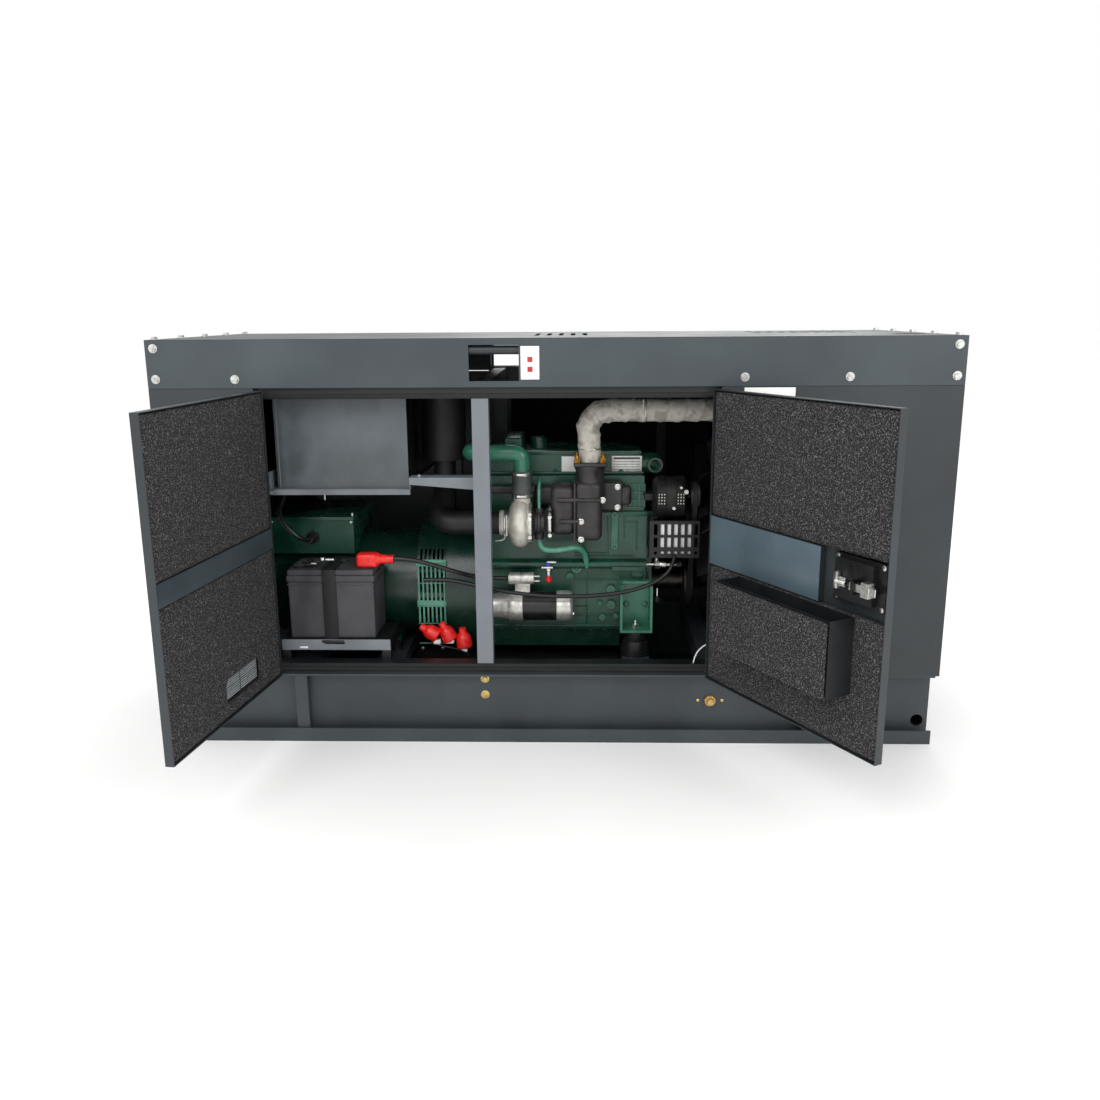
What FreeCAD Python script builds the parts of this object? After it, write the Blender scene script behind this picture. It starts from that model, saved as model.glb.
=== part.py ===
"""A silent-canopy diesel generator set with both front doors standing open.

Frame: origin at the centre of the four anchor holes, on the underside of the base; +X runs from
the alternator end to the radiator end, +Y from the front doors to the back, +Z up. Millimetres.
"""
import FreeCAD, Part
import math
import os
import re
import Sketcher
from FreeCAD import Placement, Rotation, Vector

DOC = FreeCAD.newDocument("GeneratorSet")
SHEET = DOC.addObject("Spreadsheet::Sheet", "Dims")
CELLS = set()
SUBPARTS = []
TURN_FROM_Z = {"x": Rotation(Vector(0, 1, 0), 90), "y": Rotation(Vector(1, 0, 0), -90), "z": Rotation()}


# ---- the sheet and its formulas ----

def sizes(**cells):
    """Add named cells, each a plain number, to the sheet of driving dimensions."""
    for alias, number in cells.items():
        row = len(CELLS) + 1
        SHEET.set("A%d" % row, alias)
        SHEET.set("B%d" % row, str(number))
        SHEET.setAlias("B%d" % row, alias)
        CELLS.add(alias)
    SHEET.recompute()


def formula(text):
    """Turn the cell names in a formula into references to the sheet."""
    return re.sub(r"[a-z]\w*", lambda word: "Dims." * (word.group() in CELLS) + word.group(), str(text))


def number(text):
    return float(SHEET.evalExpression(formula(text)))


def bind(item, **formulas):
    for name, text in formulas.items():
        item.setExpression(name, formula(text))


def put(item, axis, start, centre=(0, 0)):
    """Stand an item made along Z on another axis, at its start along that axis and its centre across it."""
    item.Placement = Placement(Vector(), TURN_FROM_Z[axis])
    across = iter(centre)
    for name in "xyz":
        item.setExpression("Placement.Base." + name, formula(start if name == axis else next(across)))
    return item


def mirrored(side, near, far):
    """The range from near to far, counted outwards from the middle plane on one side of it."""
    return (near, far) if side > 0 else ("-(%s)" % far, "-(%s)" % near)


# ---- solids bound to the sheet ----

def block(x, y, z):
    item = DOC.addObject("Part::Box", "Block")
    bind(item, **{name: "(%s) - (%s)" % (high, low) for name, (low, high) in
                  zip(("Length", "Width", "Height"), (x, y, z))})
    for name, (low, _) in zip("xyz", (x, y, z)):
        item.setExpression("Placement.Base." + name, formula(low))
    return item


def rod(axis, centre, radius, low, high):
    item = DOC.addObject("Part::Cylinder", "Rod")
    bind(item, Radius=radius, Height="(%s) - (%s)" % (high, low))
    return put(item, axis, low, centre)


def taper(axis, centre, radius_low, radius_high, low, high):
    item = DOC.addObject("Part::Cone", "Taper")
    bind(item, Radius1=radius_low, Radius2=radius_high, Height="(%s) - (%s)" % (high, low))
    return put(item, axis, low, centre)


def hexagon(axis, centre, corner_radius, low, high):
    item = DOC.addObject("Part::Prism", "Hexagon")
    item.Polygon = 6
    bind(item, Circumradius=corner_radius, Height="(%s) - (%s)" % (high, low))
    return put(item, axis, low, centre)


def union(*items):
    if len(items) == 1:
        return items[0]
    item = DOC.addObject("Part::MultiFuse", "Union")
    item.Shapes = list(items)
    return item


def minus(base, *tools):
    item = DOC.addObject("Part::Cut", "Cut")
    item.Base = base
    item.Tool = union(*tools)
    return item


def tube(axis, centre, outer, inner, low, high):
    return minus(rod(axis, centre, outer, low, high), rod(axis, centre, inner, low, high))


def shell(x, y, z, wall, open_sides=()):
    """A sheet-metal box. Each open side is named by its axis and end, such as "y-" or "z+"."""
    inner = []
    for name, (low, high) in zip("xyz", (x, y, z)):
        inner.append((low if name + "-" in open_sides else "%s + %s" % (low, wall),
                      high if name + "+" in open_sides else "%s - (%s)" % (high, wall)))
    return minus(block(x, y, z), block(*inner))


def rounded(item, axis, radius):
    """Round the edges of an item that run along one axis."""
    DOC.recompute([item])
    along = {"x": Vector(1, 0, 0), "y": Vector(0, 1, 0), "z": Vector(0, 0, 1)}[axis]
    edges = [(place + 1, number(radius), number(radius)) for place, edge in enumerate(item.Shape.Edges)
             if isinstance(edge.Curve, Part.Line) and abs(edge.Curve.Direction.dot(along)) > 0.999]
    result = DOC.addObject("Part::Fillet", "Rounded")
    result.Base = item
    result.Edges = edges
    return result


def sketch_on(body, role, offset, points):
    """A closed outline of straight lines on an origin plane, each corner fixed by two bound distances."""
    sketch = body.newObject("Sketcher::SketchObject", "Outline")
    plane = [feature for feature in body.Origin.OriginFeatures if feature.Role == role]
    sketch.AttachmentSupport = [(plane[0], "")]
    sketch.MapMode = "FlatFace"
    sketch.setExpression("AttachmentOffset.Base.z", formula(offset))
    corners = [Vector(number(across), number(up), 0) for across, up in points]
    for start, end in zip(corners, corners[1:] + corners[:1]):
        sketch.addGeometry(Part.LineSegment(start, end))
    for line in range(len(corners)):
        sketch.addConstraint(Sketcher.Constraint("Coincident", line, 2, (line + 1) % len(corners), 1))
    for line, (point, corner) in enumerate(zip(points, corners)):
        for kind, text, distance in zip(("DistanceX", "DistanceY"), point, corner):
            place = sketch.addConstraint(Sketcher.Constraint(kind, -1, 1, line, 1, distance))
            sketch.setExpression("Constraints[%d]" % place, formula(text))
    return sketch


def pressed(role, points, low, high):
    """A padded outline: YZ outlines run along X, XZ outlines along Y and XY outlines along Z."""
    body = DOC.addObject("PartDesign::Body", "Body")
    offset = "-(%s)" % high if role == "XZ_Plane" else low
    pad = body.newObject("PartDesign::Pad", "Pad")
    pad.Profile = sketch_on(body, role, offset, points)
    bind(pad, Length="(%s) - (%s)" % (high, low))
    return body


def turned(points, axis_y, axis_z):
    """A ring turned about an axis along X; its outline gives places along X and radii."""
    body = DOC.addObject("PartDesign::Body", "Turned")
    sketch = sketch_on(body, "XZ_Plane", 0, points)
    ring = body.newObject("PartDesign::Revolution", "Revolution")
    ring.Profile = sketch
    ring.ReferenceAxis = (sketch, ["H_Axis"])
    body.setExpression("Placement.Base.y", formula(axis_y))
    body.setExpression("Placement.Base.z", formula(axis_z))
    return body


def swung(item, hinge_x, hinge_y, angle):
    """Turn an item about an upright hinge line."""
    turn = "placement(vector(0; 0; 0); rotation(vector(0; 0; 1); %s); vector(%s; %s; 0))"
    item.setExpression("Placement", formula(turn % (angle, hinge_x, hinge_y)))
    return item


def subpart(label, *items):
    """Gather a sub-part's pieces, which stay separate solids, under the sub-part's own name."""
    item = DOC.addObject("Part::Compound", "Subpart")
    item.Links = list(items)
    item.Label = label
    SUBPARTS.append(item)
    return item


def computed(label, shape):
    """A sub-part whose shape is worked out from the sheet by a function of its own."""
    item = DOC.addObject("Part::Feature", "Computed")
    item.Shape = shape
    item.Label = label
    SUBPARTS.append(item)
    return item


def routed(label, points, radius):
    """A round tube along straight runs joined by tangent arcs as large as their runs allow."""
    points = [Vector(*point) for point in points]
    edges = []
    start = points[0]
    radii = []
    for before, corner, after in zip(points, points[1:], points[2:]):
        entering = (corner - before).normalize()
        leaving = (after - corner).normalize()
        half_turn = entering.getAngle(leaving) / 2
        reach = ARC_SHARE * min((corner - before).Length, (after - corner).Length)
        bend = reach / math.tan(half_turn)
        radii.append(bend)
        first = corner - entering * reach
        last = corner + leaving * reach
        inward = (leaving - entering).normalize()
        middle = corner + inward * (bend / math.cos(half_turn) - bend)
        edges += [Part.LineSegment(start, first).toShape(), Part.Arc(first, middle, last).toShape()]
        start = last
    edges.append(Part.LineSegment(start, points[-1]).toShape())
    path = Part.Wire(edges)
    section = Part.Wire(Part.Circle(points[0], points[1] - points[0], radius).toShape())
    tube_shape = path.makePipeShell([section], True, False)
    expected = math.pi * radius ** 2 * path.Length
    print("%s: length %.0f, tightest radius %.0f (%.1f diameters), volume against section %.4f" % (
        label, path.Length, min(radii), min(radii) / (2 * radius), tube_shape.Volume / expected))
    return tube_shape


ARC_SHARE = 0.45
SIDES = (-1, 1)


# ---- driving dimensions of the canopy and the base ----

sizes(half_length=1100, half_depth=415, roof_top=1162, base_top=210, skin=2)
sizes(band_low=1032, panel_high=1030, return_y=390, corner_return=50, tab_low=1000, tab_high=1075)

# Base: two rolled edge beams with an upturned toe, joined by end plates, box cross members under
# the radiator and the alternator, and bearers that carry the feet of the machine.
sizes(rail_half=1090, web_out=375, web_in=369, toe_out=413, toe_in=407, toe_high=41, flange_in=330)
sizes(plate=6, anchor_x=783, anchor_y=391, anchor_r=9, tie_x=1060, tie_z=59, tie_r=18)
sizes(stay_x=739, stay_half=18, stay_out=403, stay_wall=3, member_half=30, member_low=144, member_wall=4)
sizes(bearer_half=40, bearer_low=164, bearer_rear=-760, bearer_middle=-500, bearer_engine=245)


def edge_beam(side):
    outline = [("toe_out", 0), ("toe_out", "toe_high"), ("toe_in", "toe_high"), ("toe_in", "plate"),
               ("web_out", "plate"), ("web_out", "base_top - plate"), ("toe_out", "base_top - plate"),
               ("toe_out", "base_top"), ("flange_in", "base_top"), ("flange_in", "base_top - plate"),
               ("web_in", "base_top - plate"), ("web_in", "plate"), ("flange_in", "plate"), ("flange_in", 0)]
    beam = pressed("YZ_Plane", [("%d * %s" % (side, y), z) for y, z in outline], "-rail_half", "rail_half")
    holes = [rod("z", (end + " anchor_x", "%d * anchor_y" % side), "anchor_r", -1, "2 * plate")
             for end in ("-", "+")]
    ties = [rod("y", (end + " tie_x", "tie_z"), "tie_r", *mirrored(side, "web_in - 1", "web_out + 1"))
            for end in ("-", "+")]
    return minus(beam, *holes, *ties)


def cross_box(centre, half, low, wall):
    """A square tube laid across the base between the two webs."""
    return shell(("%s - %s" % (centre, half), "%s + %s" % (centre, half)), ("-web_in", "web_in"),
                 (low, "base_top - plate"), wall, ("y-", "y+"))


def end_plate(side):
    return union(block(mirrored(side, "rail_half - plate", "rail_half"), ("-web_in", "web_in"),
                       ("plate", "base_top - plate")),
                 block(mirrored(side, "rail_half - 40", "rail_half"), ("-flange_in", "flange_in"),
                       ("base_top - plate", "base_top")))


def web_stay(side, end):
    return shell(mirrored(end, "stay_x - stay_half", "stay_x + stay_half"), mirrored(side, "web_out", "stay_out"),
                 ("plate", "base_top - plate"), "stay_wall", ("z-", "z+"))


subpart("base_frame",
        *[edge_beam(side) for side in SIDES],
        *[end_plate(side) for side in SIDES],
        *[web_stay(side, end) for side in SIDES for end in SIDES],
        *[cross_box(x, "member_half", "member_low", "member_wall") for x in (-900, 470, 580, 850)],
        *[cross_box(x, "bearer_half", "bearer_low", "member_wall") for x in
          ("bearer_rear", "bearer_middle", "bearer_engine")])

# Fuel tank: a welded box between the beams, with a filler neck and cap at the back.
sizes(tank_left=-455, tank_right=200, tank_half=330, tank_low=30, tank_high=158, tank_wall=3)
sizes(neck_x=-410, neck_y=295, neck_r=30, neck_high=235, cap_r=38, cap_high=255)
tank_box = shell(("tank_left", "tank_right"), ("-tank_half", "tank_half"), ("tank_low", "tank_high"), "tank_wall")
subpart("fuel_tank",
        minus(union(tank_box, rod("z", ("neck_x", "neck_y"), "neck_r", "tank_high - 1", "neck_high")),
              rod("z", ("neck_x", "neck_y"), "neck_r - tank_wall", "tank_high - 2 * tank_wall", "neck_high + 1")),
        rod("z", ("neck_x", "neck_y"), "cap_r", "neck_high", "cap_high"))

# Yellow-zinc and brass hardware on the front web: two rail bolts and the fuel drain with its screws.
sizes(rail_bolt_x=-203, rail_bolt_high=183, rail_bolt_low=134, rail_bolt_r=9, head_depth=7)
sizes(drain_x=456, drain_z=118, drain_r=17, drain_plug_r=12, drain_depth=18, drain_screw=35, screw_r=5)
subpart("brass_fittings",
        *[hexagon("y", ("rail_bolt_x", z), "rail_bolt_r", "-web_out - head_depth", "-web_out")
          for z in ("rail_bolt_high", "rail_bolt_low")],
        union(rod("y", ("drain_x", "drain_z"), "drain_r", "-web_out - head_depth", "-web_out"),
              hexagon("y", ("drain_x", "drain_z"), "drain_plug_r", "-web_out - drain_depth", "-web_out - 1")),
        *[rod("y", ("drain_x + %d * drain_screw" % side, "drain_z"), "screw_r", "-web_out - 4", "-web_out")
          for side in SIDES])

# ---- canopy: end panels, fixed side panels, roof, top beams ----

sizes(vent_half=90, vent_gap=20, vent_height=14, vent_pitch=38, inlet_low=262, outlet_low=300)


def end_panel(label, side, vent_low, rows):
    """An end wall folded in along all four edges, with rows of air slots."""
    sheet = union(block(mirrored(side, "half_length - skin", "half_length"),
                        ("-half_depth + skin", "half_depth - skin"), ("base_top", "roof_top - skin")),
                  *[block(mirrored(side, "half_length - corner_return", "half_length - skin"),
                          mirrored(end, "half_depth - 2 * skin", "half_depth - skin"),
                          ("base_top", "roof_top - skin")) for end in SIDES],
                  *[block(mirrored(side, "half_length - 40", "half_length - skin"),
                          ("-half_depth + 2 * skin", "half_depth - 2 * skin"), z)
                    for z in (("base_top", "base_top + skin"), ("roof_top - 2 * skin", "roof_top - skin"))])
    slots = [block(mirrored(side, "half_length - 2 * skin", "half_length + 1"),
                   ("%d * (2 * vent_half + vent_gap) - vent_half" % column,
                    "%d * (2 * vent_half + vent_gap) + vent_half" % column),
                   ("%s + %d * vent_pitch" % (vent_low, row), "%s + %d * vent_pitch + vent_height" % (vent_low, row)))
             for column in (-1, 0, 1) for row in range(rows)]
    subpart(label, minus(sheet, *slots))


end_panel("left_end_panel", -1, "inlet_low", 9)
end_panel("right_end_panel", 1, "outlet_low", 15)

sizes(left_jamb=-813.5, right_jamb=456, control_left=-849, control_right=-375, control_sill=636, rear_joint=361)
sizes(stop_x=-300, stop_z=900, stop_stem_r=8, running_fit=0.06)
sizes(window_left=-224, window_right=-89, window_low=1048, window_high=1144, beam_flange=390)


def fixed_panel(side, low, high, top="panel_high", folds=(), tab=None):
    """A flat wall panel, folded in beside a door and lapped behind the top beam."""
    pieces = [block((low, high), mirrored(side, "half_depth - skin", "half_depth"), ("base_top", top))]
    pieces += [block(fold, mirrored(side, "return_y", "half_depth - skin"), ("base_top", top)) for fold in folds]
    if tab:
        pieces.append(block(tab, mirrored(side, "half_depth - 2 * skin", "half_depth - skin"),
                            ("tab_low", "tab_high")))
    return union(*pieces)


subpart("fixed_panels",
        fixed_panel(-1, "-half_length", "left_jamb", folds=[("left_jamb - skin", "left_jamb")],
                    tab=("-half_length + corner_return + 1", "left_jamb - 2 * skin")),
        fixed_panel(-1, "right_jamb", "half_length", folds=[("right_jamb", "right_jamb + skin")],
                    tab=("right_jamb + 2 * skin", "half_length - corner_return - 1")),
        fixed_panel(1, "-half_length", "control_left", folds=[("control_left - skin", "control_left")],
                    tab=("-half_length + corner_return + 1", "control_left - 2 * skin")),
        fixed_panel(1, "control_left + skin", "control_right - skin", top="control_sill"),
        minus(fixed_panel(1, "control_right", "rear_joint - 1", folds=[("control_right", "control_right + skin")],
                          tab=("window_right + 5", "rear_joint - 2")),
              rod("y", ("stop_x", "stop_z"), "stop_stem_r + running_fit", "half_depth - 10", "half_depth + 1")),
        fixed_panel(1, "rear_joint + 1", "half_length",
                    tab=("rear_joint + 2", "half_length - corner_return - 1")))

# Roof: one lid over the whole length, with hot-air slots over the radiator end, a few over the
# engine and a round hole for the tail pipe.
sizes(slot_wide=14, slot_pitch=36, slot_half=150, roof_slots_engine=-60, roof_slots_outlet=620)
sizes(tail_x=1010, muffler_y=-205, tail_hole_r=46)
roof_slots = [block(("%s + %d * slot_pitch" % (start, place), "%s + %d * slot_pitch + slot_wide" % (start, place)),
                    (low, high), ("roof_top - 2 * skin", "roof_top + 1"))
              for start, count, low, high in (("roof_slots_engine", 5, "-slot_half", "slot_half"),
                                              ("roof_slots_outlet", 9, 0, "2 * slot_half"))
              for place in range(count)]
subpart("roof_panel",
        minus(block(("-half_length", "half_length"), ("-half_depth", "half_depth"), ("roof_top - skin", "roof_top")),
              rod("z", ("tail_x", "muffler_y"), "tail_hole_r", "roof_top - 10", "roof_top + 1"), *roof_slots))

# Top beams: the lighter band along each long side, with a window in it for the lifting bar.


def top_beam(side):
    band = block(("-half_length", "half_length"), mirrored(side, "half_depth - skin", "half_depth"),
                 ("band_low", "roof_top - skin"))
    flange = block(("-half_length + corner_return + 1", "half_length - corner_return - 1"),
                   mirrored(side, "beam_flange", "half_depth - skin"), ("roof_top - 2 * skin", "roof_top - skin"))
    window = block(("window_left", "window_right"), mirrored(side, "half_depth - 10", "half_depth + 1"),
                   ("window_low", "window_high"))
    return minus(union(band, flange), window)


subpart("top_beams", *[top_beam(side) for side in SIDES])

# Lifting frame: a beam across the set between two posts, with a round bar at each window.
sizes(lift_r=12, lift_y=397, lift_z=1130, lug=8, lug_left=-240, lug_right=-73, lug_in=376, lug_out=410)
sizes(lug_high=1154, lift_low=1002, lift_top=1042, lift_beam_left=-219, lift_beam_right=-179, lift_end=386)
sizes(post_left=-222, post_right=-176, post_in=350, post_wall=3)


def lifting_end(side):
    return [rod("x", ("%d * lift_y" % side, "lift_z"), "lift_r", "lug_left", "lug_right"),
            block(("lug_left", "lug_right"), mirrored(side, "lug_in", "lift_end"), ("lift_low", "window_low - 2")),
            *[block(x, mirrored(side, "lug_in", "lug_out"), ("window_low - 2", "lug_high"))
              for x in (("lug_left", "lug_left + lug"), ("lug_right - lug", "lug_right"))]]


subpart("lifting_bar",
        union(block(("lift_beam_left", "lift_beam_right"), ("-lift_end", "lift_end"), ("lift_low", "lift_top")),
              *lifting_end(-1), *lifting_end(1)),
        shell(("post_left", "post_right"), ("post_in", "lift_end"), ("base_top", "lift_low"), "post_wall",
              ("z-", "z+")))

# Canopy bolts: zinc-plated heads on washers along both bands and down the ends of the roof.
sizes(bolt_head_r=9, bolt_washer_r=12, washer=1.5, bolt_head=6, corner_bolt_x=1077, corner_bolt_low=1057)
sizes(corner_bolt_high=1139, lap_bolt_z=1056, roof_bolt_x=1085, roof_bolt_pitch=190)


def bolt(axis, centre, face, outward):
    washer = sorted((0, outward), key=float)
    ends = ["%s + %d * washer" % (face, end) for end in washer]
    head = ["%s + %d * (washer + bolt_head)" % (face, end) for end in washer]
    return union(rod(axis, centre, "bolt_washer_r", *ends), hexagon(axis, centre, "bolt_head_r", *head))


band_places = [(end + " corner_bolt_x", z) for end in ("-", "+") for z in ("corner_bolt_low", "corner_bolt_high")]
band_places += [(x, "lap_bolt_z") for x in (-860, 516, 795)]
subpart("canopy_bolts",
        *[bolt("y", place, "%d * half_depth" % side, side) for side in SIDES for place in band_places],
        *[bolt("z", ("%d * roof_bolt_x" % end, "%d * roof_bolt_pitch" % place), "roof_top", 1)
          for end in SIDES for place in (-2, -1, 0, 1, 2)])

# Acoustic foam glued inside the fixed walls and the roof.
sizes(foam=25, foam_low=250, foam_high=985)
wall_slabs = [((-1045, -870), -1), ((500, 1045), -1), ((-1045, -885), 1), ((-165, 350), 1), ((375, 1045), 1)]
subpart("wall_foam",
        *[block(x, mirrored(side, "half_depth - 2 * skin - foam", "half_depth - 2 * skin"), ("foam_low", "foam_high"))
          for x, side in wall_slabs],
        *[block(x, ("-slot_half - 180", "slot_half + 180"), ("roof_top - skin - foam", "roof_top - skin"))
          for x in ((-1050, -260), (150, 600))])

# ---- door frames ----

sizes(frame_face=390, frame_in=388, frame_lip=350, opening_left=-816, opening_right=446, opening_low=236)
sizes(opening_high=1000, frame_left=-860, frame_right=490, header_high=1044, sill_lip=349)
sizes(strike_low=600, strike_high=648, strike_in=360)
sizes(ring_left=-880, ring_right=-345, ring_low=612, ring_hole_left=-822, ring_hole_right=-402)
sizes(ring_hole_low=662, ring_hole_high=1004)


def jamb(face, lip):
    return union(block(face, ("-frame_face", "-frame_in"), ("opening_low", "opening_high")),
                 block(lip, ("-frame_in", "-frame_lip"), ("opening_low", "opening_high")))


front_post = minus(block(("post_left", "post_right"), ("-frame_face", "-post_in"), ("opening_low", "opening_high")),
                   block(("post_left + post_wall", "post_right - post_wall"),
                         ("-frame_face + post_wall", "-post_in + 1"), ("opening_low - 1", "opening_high + 1")),
                   block(("post_right - 2 * post_wall", "post_right + 1"), ("-frame_face + post_wall", "-strike_in"),
                         ("strike_low", "strike_high")))
subpart("door_frame_members",
        union(block(("frame_left", "frame_right"), ("-frame_face", "-frame_in"), ("opening_high", "header_high")),
              block(("frame_left", "frame_right"), ("-frame_in", "-frame_lip"),
                    ("opening_high", "opening_high + skin"))),
        union(block(("frame_left", "frame_right"), ("-frame_face", "-frame_in"), ("base_top", "opening_low")),
              block(("frame_left", "frame_right"), ("-frame_in", "-sill_lip"), ("opening_low - skin", "opening_low"))),
        jamb(("frame_left", "opening_left"), ("opening_left - skin", "opening_left")),
        jamb(("opening_right", "frame_right"), ("opening_right", "opening_right + skin")),
        front_post,
        minus(block(("ring_left", "ring_right"), ("frame_in", "frame_face"), ("ring_low", "header_high")),
              block(("ring_hole_left", "ring_hole_right"), ("frame_in - 1", "frame_face + 1"),
                    ("ring_hole_low", "ring_hole_high"))))

# ---- hinges: external butt hinges with a fixed pin ----

sizes(pin_r=3, knuckle_r=6.2, knuckle=23.5, knuckle_gap=0.5, leaf=2.5, leaf_width=34, leaf_start=7)
sizes(hinge_y=421.5, left_hinge=-811.5, right_hinge=454, control_hinge=-847)
HINGE_HEIGHTS = (300, 620, 940)
CONTROL_HINGE_HEIGHTS = (690, 930)


def knuckle(side, x, outward, low):
    """One knuckle about the pin, with the strip that joins it to its leaf."""
    high = "%s + knuckle" % low
    strip = sorted([0, outward])
    return [rod("z", (x, "%d * hinge_y" % side), "knuckle_r", low, high),
            block(["%s + %d * leaf_start" % (x, end) for end in strip],
                  mirrored(side, "half_depth + 0.3", "half_depth + leaf + 0.4"), (low, high))]


def leaf_plate(side, x, outward, height):
    ends = sorted([outward, 2 * outward])
    start = {outward: "%s + %d * leaf_start" % (x, outward), 2 * outward: "%s + %d * leaf_width" % (x, outward)}
    return block([start[end] for end in ends], mirrored(side, "half_depth", "half_depth + leaf"),
                 (height, "%s + 3 * knuckle + 2 * knuckle_gap" % height))


def fixed_hinge(side, x, outward, height):
    """The leaf on the wall: a plate, the two outer knuckles and the pin."""
    pin = rod("z", (x, "%d * hinge_y" % side), "pin_r", "%s - 2" % height,
              "%s + 3 * knuckle + 2 * knuckle_gap + 2" % height)
    return union(leaf_plate(side, x, outward, height), pin, *knuckle(side, x, outward, height),
                 *knuckle(side, x, outward, "%s + 2 * (knuckle + knuckle_gap)" % height))


def door_hinge(side, x, outward, height):
    """The leaf on the door: a plate and the middle knuckle, bored to run on the pin."""
    middle = "%s + knuckle + knuckle_gap" % height
    bore = rod("z", (x, "%d * hinge_y" % side), "pin_r + running_fit", height, "%s + 3 * knuckle" % height)
    return minus(union(leaf_plate(side, x, outward, height), *knuckle(side, x, outward, middle)), bore)


subpart("door_hinges",
        *[fixed_hinge(-1, "left_hinge", -1, z) for z in HINGE_HEIGHTS],
        *[fixed_hinge(-1, "right_hinge", 1, z) for z in HINGE_HEIGHTS],
        *[fixed_hinge(1, "control_hinge", -1, z) for z in CONTROL_HINGE_HEIGHTS])

# ---- front doors: folded trays with a stiffener and glued foam, drawn shut and swung open ----

sizes(door_low=212, door_high=1026, door_fold=393, foam_face=393, door_edge=3, left_free=-200.5, right_free=-197)
sizes(left_open=-97.3, right_open=119.3, brace_face=396, foam_gap=4)
sizes(left_brace_low=588, left_brace_high=646, right_brace_low=549, right_brace_high=685, right_brace_left=18)
sizes(grille_left=-684, grille_right=-488, grille_low=253, grille_high=309, grille_bar=6)


def tray(side, left, right, low="door_low"):
    return shell((left, right), mirrored(side, "door_fold", "half_depth"), (low, "door_high"), "skin",
                 ("y+",) if side < 0 else ("y-",))


grille_middle = "(grille_left + grille_right) / 2"
grille_level = "(grille_low + grille_high) / 2"
grille_panes = [block(x, ("-half_depth - 1", "-half_depth + skin + 1"), z)
                for x in (("grille_left", grille_middle + " - grille_bar / 2"),
                          (grille_middle + " + grille_bar / 2", "grille_right"))
                for z in (("grille_low", grille_level + " - grille_bar / 2"),
                          (grille_level + " + grille_bar / 2", "grille_high"))]
left_tray = minus(tray(-1, "left_hinge + door_edge", "left_free"), *grille_panes)
left_brace = shell(("left_hinge + door_edge + skin", "left_free - skin"), ("-half_depth + skin", "-brace_face"),
                   ("left_brace_low", "left_brace_high"), "skin", ("y-",))
swung(subpart("left_door_panel", left_tray, left_brace,
              *[door_hinge(-1, "left_hinge", 1, z) for z in HINGE_HEIGHTS]),
      "left_hinge", "-hinge_y", "left_open")

left_foam_x = ("left_hinge + door_edge + foam_gap", "left_free - foam_gap")
foam_y = ("-half_depth + skin", "-foam_face")
grille_hole = block(("grille_left - 4", "grille_right + 4"), ("-half_depth", "-foam_face + 1"),
                    ("grille_low - 4", "grille_high + 4"))
swung(subpart("left_door_foam",
              block(left_foam_x, foam_y, ("left_brace_high + 1", "door_high - foam_gap")),
              minus(block(left_foam_x, foam_y, ("door_low + foam_gap", "left_brace_low - 1")), grille_hole)),
      "left_hinge", "-hinge_y", "left_open")

# Right door: the same tray with a hole for the flush latch, a wider stiffener beside the latch box
# and an open-topped air baffle lower down.
sizes(recess_left=-163, recess_right=-51, recess_low=585, recess_high=675, recess_back=382)
right_tray = minus(tray(-1, "right_free", "right_hinge - door_edge"),
                   block(("recess_left", "recess_right"), ("-half_depth - 1", "-half_depth + skin + 1"),
                         ("recess_low", "recess_high")))
right_brace = shell(("right_brace_left", "right_hinge - door_edge - skin"), ("-half_depth + skin", "-brace_face"),
                    ("right_brace_low", "right_brace_high"), "skin", ("y-",))
swung(subpart("right_door_panel", right_tray, right_brace,
              *[door_hinge(-1, "right_hinge", -1, z) for z in HINGE_HEIGHTS]),
      "right_hinge", "-hinge_y", "right_open")

sizes(baffle_left=-106, baffle_right=314, baffle_low=355, baffle_high=543, baffle_face=318, baffle_foam=303)
right_foam_x = ("right_free + foam_gap", "right_hinge - door_edge - foam_gap")
swung(subpart("right_door_foam",
              block(right_foam_x, foam_y, ("right_brace_high + 2", "door_high - foam_gap")),
              block(right_foam_x, foam_y, ("door_low + foam_gap", "right_brace_low - 2")),
              block(("baffle_left", "baffle_right"), ("-baffle_face", "-baffle_foam"), ("baffle_low", "baffle_high"))),
      "right_hinge", "-hinge_y", "right_open")
swung(subpart("right_door_baffle",
              shell(("baffle_left", "baffle_right"), ("-foam_face", "-baffle_face"), ("baffle_low", "baffle_high"),
                    "skin", ("z+",))),
      "right_hinge", "-hinge_y", "right_open")

# Flush paddle latch: a black box behind the skin, the paddle on its upright pin, and a spring bolt
# that slides behind the post.
sizes(latch_left=-193, latch_right=-34, latch_low=572, latch_high=684, box_wall=2, latch_face=393)
sizes(paddle_x=-58, paddle_y=407, paddle_pin_r=2.5, barrel_r=5, paddle_left=-122, paddle_low=588)
sizes(paddle_high=672, paddle_thick=3, guide_left=-128, guide_right=-120, guide_face=358)
sizes(bolt_low=614, bolt_high=632, bolt_back=378, bolt_front=364, bolt_tip=-188, bolt_tail=-110)
sizes(bolt_head_left=-170, bolt_head_right=-148, bolt_head_low=606, bolt_head_high=640)
latch_cover = shell(("latch_left", "latch_right"), ("-half_depth + skin", "-latch_face"),
                    ("latch_low", "latch_high"), "box_wall", ("y-",))
recess_box = block(("recess_left - box_wall", "recess_right + box_wall"), ("-half_depth + skin", "-recess_back + 2"),
                   ("recess_low - box_wall", "recess_high + box_wall"))
recess_hollow = block(("recess_left", "recess_right"), ("-half_depth", "-recess_back"), ("recess_low", "recess_high"))
guide = minus(block(("guide_left", "guide_right"), ("-recess_back + 2", "-guide_face"),
                    ("bolt_head_low", "bolt_head_high")),
              block(("guide_left - 1", "guide_right + 1"), ("-recess_back + 3", "-bolt_front + 1"),
                    ("bolt_low - 1", "bolt_high + 1")))
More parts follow.
